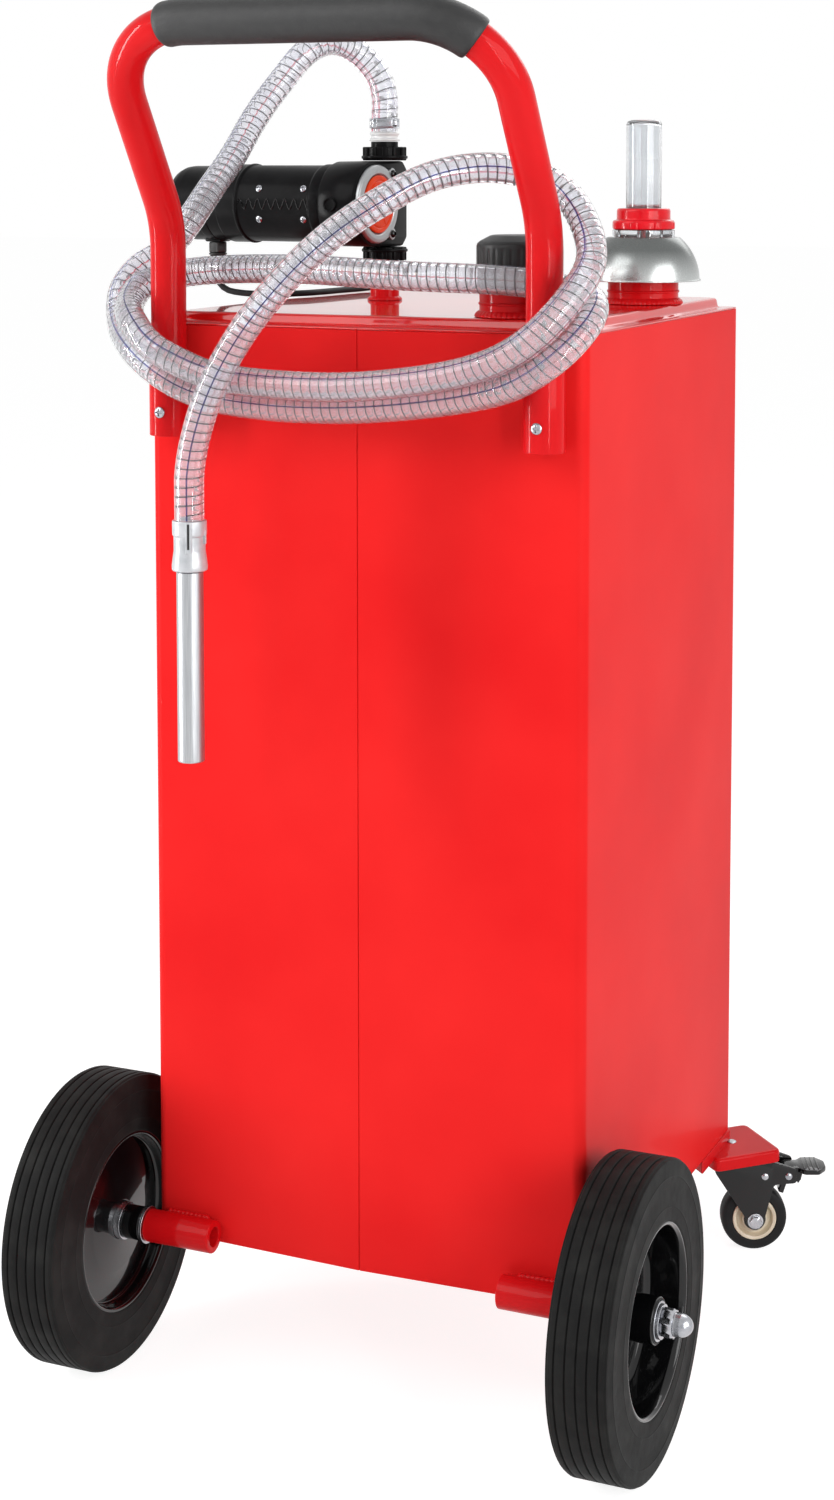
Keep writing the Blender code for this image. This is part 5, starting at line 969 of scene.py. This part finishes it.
def makeFork(swivel, name, body):
    race = mm((5.5, 98.7), (20, 98.7), (22.8, 97.9), (23.2, 96.2), (22.2, 95), (23.2, 94), (23.2, 91.4), (5.5, 91.4))
    crown = softened(mm((-18, -16.8), (40, -16.8), (40, 16.8), (-18, 16.8)), 0.003, 6, True)
    leg = np.concatenate([mm((-18, 91.2), (40, 91.2), (62, 83.5), (62, 69.5), (40, 68)),
                          arc((0.022, 0.032), 0.0092, 12, -192, 14), mm((-18, 81))])[::-1]
    leg = softened(leg, 0.0035, 4, True)
    shapes = [turned(race, 64, True, 0.0004), moved(slab(crown, 0.003, 0.0006), place(0, 0, 0.089)),
              *(standing(leg, 0.0025, 0.0005, y) for y in (0.0170, -0.0145))]
    piece("caster_fork_" + name, [moved(shape, swivel) for shape in shapes], "blackEnamel", body)

    x, _, z = casterLook["wheel"]
    pivot = casterLook["pivot"]
    bolt, pin = mm((0, -20.5), (4, -20.5), (4, 20.5), (0, 20.5)), mm((0, -17), (2, -17), (2, 17), (0, 17))
    washer = mm((0, 0), (7.6, 0), (7.6, 1), (0, 1))
    dome = mm((0, 1.9), (1.8, 1.6), (3.2, 0.8), (3.7, 0), (3.7, -0.4), (0, -0.4))
    bright = [moved(turned(bolt, 28, False, 0.0004), onAxis(alongY, (x, 0, z)))]
    for hand in (-1, 1):
        out = (0, hand, 0)
        bright += [moved(turned(washer, 40, False, 0.0002), onAxis(out, (x, hand * 0.0170, z))),
                   moved(nut(0.0064, 0.0042, 0.0006), onAxis(out, (x, hand * 0.0179, z)))]
        bright += [moved(turned(dome, 32, False, 0.0003), onAxis(out, (spot, hand * 0.0171, pivot[2])))
                   for spot in (0.031, pivot[0])]
    bright.append(moved(turned(pin, 20), onAxis(alongY, pivot)))
    piece("fork_bolts_" + name, [moved(shape, swivel) for shape in bright], "brightSteel", body)


def makeCasterWheel(swivel, name, body):
    stand = swivel @ onAxis(alongY, casterLook["wheel"])
    tyre = mm((21.5, 10.5), (22.2, 11.2), (27, 11), (29.6, 10.4), (31.2, 8.8), (31.9, 6), (32, 2.8))
    hub = mm((10.5, 12.5), (11.8, 12.5), (12.4, 5), (16.2, 4.8), (17.2, 7), (17.8, 11.2), (20.6, 11.8), (21.3, 10.8))
    boss = mm((4.5, 13.2), (8.8, 13.2), (9.6, 12.4), (10.4, 12.2), (10.4, 10))
    lathe("caster_tyre_" + name, stand, "blackRubber", mirrored(tyre), 96, True, 0.0008, body=body)
    lathe("caster_hub_" + name, stand, "creamPlastic", mirrored(hub), 72, True, 0.0005, body=body)
    lathe("caster_boss_" + name, stand, "blackPlastic", mirrored(boss), 48, True, 0.0004, body=body)


def makeBrake(swivel, name, body):
    pivot = casterLook["pivot"]
    barrel = mm((2.5, -11), (5.5, -11), (5.5, 11), (2.5, 11))
    half = mm((52, 10.6), (65, 10.6), (70, 16.8), (84, 17), (91.8, 7))
    pedal = softened(np.concatenate([half * (1, -1), half[::-1]]), 0.0024, 5, True)
    angle = math.radians(casterLook["pedalTurn"])
    shoe = Vector(pivot) + Vector((math.cos(angle), 0, math.sin(angle))) * 0.0121
    shapes = [moved(turned(barrel, 40, True, 0.0004), onAxis(alongY, pivot)),
              moved(slab(pedal, 0.005, 0.0010), place(0, 0, 0.0775)),
              moved(block((0.0166, 0.018, 0.005), 0.0008), place(*shoe) @ spun(-casterLook["pedalTurn"], "Y"))]
    shapes += [moved(block((0.0016, width, 0.0016), 0.0006), place(spot, 0, 0.0826))
               for spot, width in ((0.0700, 0.028), (0.0745, 0.030), (0.0790, 0.030), (0.0835, 0.029))]
    hook = mm((57.5, 77.8), (57.5, 70), (60, 66.8), (62.2, 69.4), (64.5, 66.4), (67.2, 70), (69, 77.8))
    shapes += [standing(hook, 0.002, 0.0004, y) for y in (-0.0070, 0.0090)]
    piece("brake_lever_" + name, [moved(shape, swivel) for shape in shapes], "blackEnamel", body)


for side, name in sides:
    makeBracket(side, name)
    x, y = casterLook["place"]
    swivel = place(side * x, y, 0) @ spun(casterLook["heading"][side])
    makeFork(swivel, name, "caster_" + name)
    makeCasterWheel(swivel, name, "caster_wheel_" + name)
    makeBrake(swivel, name, "brake_" + name)
print("casters made")

# the seam runs from one x to another, by half its swing and its period; the screws stand at two x
pumpLook = dict(place=(-0.088, 0.245, 0), yaw=-6, axis=(0, -0.033, 1.0194), radius=0.0355,
                seam=(-0.1180, -0.0330, 0.0048, 0.0099), screws=(-0.096, -0.0477), screwTurn=23.3,
                coverScrews=(-0.0275, 0.0275), ports=(0.9670, 1.0593))
pumpStand = place(*pumpLook["place"]) @ spun(pumpLook["yaw"])
motorStand = pumpStand @ place(*pumpLook["axis"])
motorTurn = motorStand @ onAxis(alongX, (0, 0, 0))


def onMotor(x, degrees, radius):
    # local +Z stands out of the motor's side, the given degrees above straight towards the handle
    turn = math.radians(degrees)
    out = (0, -math.cos(turn), math.sin(turn))
    return motorStand @ onAxis(out, (x, out[1] * radius, out[2] * radius))


def makeHead():
    # the round head and its port block are one outline, swept along the motor's axis
    line = np.concatenate([arc((0, 0), 0.0390, 90, 270, 40), mm((52, -39.6), (60, -31.6), (60, 31.6), (52, 39.6))])
    line = softened(line, 0.0022, 4, True)
    levels = rings(line, 0, (3, -30), (0.8, -29.3), (0, -27.5), (0, 6.5), (0.7, 8.3), (2.2, 9))
    swept = [ringed(levels, (False, False)), holedFace(inward(line, 0.0022), 0.0090, [(0, 0, 0.0260)]),
             holedFace(inward(line, 0.0030), -0.0300, [(0, 0, 0.0045)]),
             turned(mm((26, 9), (26, -13), (4.5, -13), (4.5, -30)))]
    boss = mm((0, 0.6), (4.6, 0.6), (5, 1.6), (6.4, 1.6), (6.8, 0.8), (6.8, -3), (0, -3))
    piece("pump_head", [*(moved(shape, motorStand @ axes(alongY, up, alongX, (0, 0, 0))) for shape in swept),
                        moved(turned(boss, 40, False, 0.0003), onMotor(-0.0155, 0, 0.0388))], "blackCasting")

    ears = [moved(slab(arc((0, 0), 0.0056, 0, 360, 31)[:-1], 0.0040, 0.0005),
                  motorStand @ axes(alongY, up, alongX, (0.0093, 0.025, z))) for z in pumpLook["coverScrews"]]
    ring = mm((0, 12.5), (0, 9.3), (36, 9.3), (36, 12.2), (35, 13.4), (31.8, 14), (28.5, 13.8), (27, 12.5))
    lathe("pump_cover", motorTurn, "satinSilver", ring, 96, False, 0.0004, extra=ears)
    disc = mm((0, 14.6), (6, 14.6), (6.6, 13.9), (7.8, 13.9), (8.4, 14.6), (20.5, 14.6), (21.1, 14), (22.2, 14),
              (22.8, 14.6), (25.8, 14.4), (26.6, 13.4), (26.6, 12.4), (0, 12.4))
    bars = [moved(block((0.0012, 0.0130, 0.0022), 0.0004), motorStand @ spun(turn, "X") @ place(0.0144, 0.0145, 0))
            for turn in range(0, 360, 60)]
    lathe("cover_disc", motorTurn, "orangePlastic", disc, 72, False, 0.0003, extra=bars)
    heads = [moved(screwHead(0.0036, 0.0034, "hex"), motorStand @ onAxis(alongX, (0.0130, 0.025, z)))
             for z in pumpLook["coverScrews"]]
    piece("cover_screws", heads, "blackEnamel")


def makeMotor():
    radius = pumpLook["radius"]
    case = mm((36.5, -30.3), (36.5, -40.3), (35.5, -42.3), (35.5, -119), (36.9, -119.5), (37.3, -121.2),
              (36.5, -122.8), (36.5, -142), (35.5, -143.6), (35.5, -156.3), (33, -156.3), (33, -30.3))
    lathe("motor_case", motorTurn, "blackCasting", case, 96, True, 0.0005)

    first, last, swing, period = pumpLook["seam"]
    x = np.linspace(first, last, 420)
    turn = np.tanh(2.4 * np.sin(2 * np.pi * (x - first) / period)) * swing / radius
    x = x + 0.0011 * np.sin(4 * np.pi * (x - first) / period)
    seam = np.stack([x, -radius * np.cos(turn), radius * np.sin(turn)], -1)
    piece("motor_seam", [moved(tube(seam, 0.0006, 6), motorStand)], "blackEnamel")
    heads = [moved(screwHead(0.0034, 0.0022, "cross"), onMotor(spot, hand * pumpLook["screwTurn"], radius - 0.0002))
             for spot in pumpLook["screws"] for hand in (-1, 1)]
    piece("motor_screws", heads, "brightSteel")

    tail = mm((0, 48), (18, 47.8), (26.2, 46.2), (31.6, 42.4), (34.2, 36.6), (35, 30), (35, 10), (35.6, 9.2),
              (35.6, 0), (32, 0), (32, 34), (24, 44), (0, 44.6))
    foot = moved(block((0.018, 0.018, 0.006), 0.0016), motorStand @ place(-0.164, 0, -0.0335))
    lathe("motor_end_cap", motorStand @ onAxis((-1, 0, 0), (-0.1566, 0, 0)), "blackCasting", tail, 96, False, 0.0009,
          extra=[foot])

    gland = pumpStand @ place(-0.164, -0.033, 0.9826)
    dome = mm((6.8, -10), (8.6, -10.6), (8.6, -11.8), (7.4, -12.4), (7.4, -17.8), (6.6, -20), (5, -21), (3.4, -21),
              (3.4, -10))

    def ribbed(reach, height, turn):
        held = (height < -0.0122) * (height > -0.0180) * (reach > 0.0070)
        return reach - 0.0005 * (np.sin(turn * 14) > 0) * held, height

    shapes = [moved(nut(0.0092, 0.0100, 0.0008), gland @ place(0, 0, -0.0100)),
              moved(turned(dome, 84, True, 0.0003, 4, ribbed), gland)]
    piece("cable_gland", shapes, "blackPlastic")


def makePorts():
    low, high = pumpLook["ports"]
    crenels = [moved(block((0.0060, 0.0046, 0.0125), 0.0010), spun(30 * step) @ place(0.0172, 0, 0.00625))
               for step in range(12)]
    bore = 8.8
    ring, flange = (turned(collar(*sizes, bore), 72, True, 0.0008) for sizes in ((18.5, 0, 12.5), (21.4, 1.6, 4.4)))
    stub = turned(collar(12.5, 10, 17.3, bore), 48, True, 0.0006)
    for name, base, more in (("inlet_union", low, [moved(flange, place(0, 0, 0.0065))]),
                             ("outlet_union", high, [flange, stub])):
        shapes = [moved(shape, pumpStand @ place(0, 0, base)) for shape in (ring, *crenels, *more)]
        piece(name, shapes, "blackCasting")
    brass = mm((10.4, 3.6), (15, 3.6), (15, 7), (13.4, 7), (13.4, 5.2), (10.4, 5.2))
    piece("bung_adapter", [moved(nut(0.0158, 0.0042, 0.0007), pumpStand @ place(0, 0, 0.9595)),
                           moved(turned(brass, 48, True, 0.0004), pumpStand @ place(0, 0, 0.9596))], "brass")
    barb = mm((8.8, 0), (13.8, 0), (14.2, 1), (13.8, 2.2), (12.4, 2.8), (12.4, 5.2), (13.6, 5.8), (13.8, 7), (13, 8.4),
              (8.8, 8.5))
    lathe("hose_tailpiece", pumpStand @ place(0, 0, 1.0771), "whitePlastic", barb, 48, True, 0.0004)

    stand = place(-0.088, 0.245, 1.0889) @ spun(24)
    band = mm((12.6, 0), (13.9, 0), (14.1, 0.8), (13.8, 1.2), *((13.8, height) for height in np.linspace(1.6, 7.4, 7)),
              (13.8, 7.8), (14.1, 8.2), (13.9, 9), (12.6, 9))

    def bandSlots(reach, height, turn):
        cut = (np.sin(turn * 22) > 0.2) * (height > 0.0020) * (height < 0.0070) * (reach > 0.0132)
        return reach - 0.0005 * cut, height

    housing = [(nut(0.0036, 0.0040, 0.0005), onAxis(alongX, (0.0072, -0.0168, 0.0045))),
               (block((0.0150, 0.0066, 0.0075), 0.0008), place(0, -0.0165, 0.0045)),
               (block((0.0190, 0.0044, 0.0090), 0.0006), place(-0.001, -0.0146, 0.0045))]
    lathe("hose_clamp", stand, "brightSteel", band, 132, True, 0.0, 4, bandSlots,
          extra=[moved(shape, stand @ spot) for shape, spot in housing])


makeHead()
makeMotor()
makePorts()
print("pump made")

# place in metres, radii and length in millimetres
nozzleLook = dict(place=(-0.113, -0.088, 0.5654), radius=11.1, bore=9.6, length=158)


def makeNozzle():
    radius, bore, length = (nozzleLook[key] for key in ("radius", "bore", "length"))
    line = mm((bore, 1), (bore + 0.4, 0), (radius - 0.4, 0), (radius, 0.8), (radius, 12), (radius, length - 0.6),
              (radius - 0.6, length), (bore, length))
    lathe("nozzle_pipe", place(*nozzleLook["place"]), "drawnAluminium", line, 64, True, 0.0003)


makeNozzle()
print("nozzle made")

keptFinish = dict(cap_gasket="blackRubber", float_arm="satinSilver", suction_tube="satinSilver",
                  pump_rotor="brightSteel")


def dressKept():
    # the solids that no piece stands for stay, in a finish of their own
    shown = [name for name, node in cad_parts.items() if not node.hide_render]
    for name in shown:
        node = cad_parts[name]
        node.data.materials.clear()
        node.data.materials.append(finishes[keptFinish.get(name, "redPaint")])
    print("solids kept:", ", ".join(shown))


dressKept()

# each lamp: its place, what it points at, its size and its power in watts
studioLook = dict(world=0.38, floor=(246, 246, 246), reach=30, glow=0.6, glowStrength=1.42,
                  lamps=(("key", (-1.6, -2.4, 2.6), (0.0, 0.0, 0.6), (2.2, 2.2), 46),
                         ("fill", (2.6, -1.0, 1.5), (0.1, 0.0, 0.6), (1.8, 1.8), 44),
                         ("back", (0.3, 2.2, 2.4), (0.0, 0.0, 0.8), (1.6, 1.6), 18),
                         ("left strip", (-2.0, -1.1, 0.9), (0.0, 0.0, 0.8), (0.2, 1.7), 34),
                         ("right strip", (2.1, -1.9, 0.9), (0.0, 0.0, 0.8), (0.16, 1.6), 16)))


def showing(nodes):
    # 1 where the camera, a mirror or glass looks, and 0 for the light that falls on things
    camera, glossy, through = (nodes.node("LightPath", {}, {}, name)
                               for name in ("Is Camera Ray", "Is Glossy Ray", "Is Transmission Ray"))
    return (camera + glossy + through).capped()


def makeStudio():
    world = bpy.data.worlds.new("studio")
    bpy.context.scene.world = world
    world.use_nodes = True
    sky = Nodes(world.node_tree)
    background = world.node_tree.nodes["Background"]
    background.inputs["Color"].default_value = (1, 1, 1, 1)
    sky.feed(background.inputs["Strength"], showing(sky) * (1 - studioLook["world"]) + studioLook["world"])

    floor = Finish("studioFloor")
    floor.put(Base_Color=tint(studioLook["floor"]), Roughness=0.9, Specular_IOR_Level=0.0)
    glow = floor.node("Emission", {}, {"Color": (1, 1, 1, 1), "Strength": studioLook["glowStrength"]})
    share = showing(floor) * studioLook["glow"]
    shown = floor.node("MixShader", {}, {0: share, 1: Wire(floor, floor.shader.outputs[0]), 2: glow})
    floor.feed(floor.tree.nodes["Material Output"].inputs["Surface"], shown)
    mesh = bpy.data.meshes.new("studio_floor")
    reach = studioLook["reach"]
    mesh.from_pydata([(-reach, -reach, 0), (reach, -reach, 0), (reach, reach, 0), (-reach, reach, 0)], [],
                     [(0, 1, 2, 3)])
    mesh.materials.append(floor.material)
    ground = bpy.data.objects.new("studio_floor", mesh)
    bpy.context.scene.collection.objects.link(ground)

    for name, spot, target, size, power in studioLook["lamps"]:
        light = bpy.data.lights.new(name, "AREA")
        light.shape, light.size, light.size_y, light.energy = "RECTANGLE", *size, power
        lamp = bpy.data.objects.new(name, light)
        lamp.location = spot
        lamp.rotation_euler = (Vector(target) - Vector(spot)).to_track_quat("-Z", "Y").to_euler()
        bpy.context.scene.collection.objects.link(lamp)
    bpy.context.scene.view_settings.view_transform = "Standard"


makeStudio()
print("studio set")
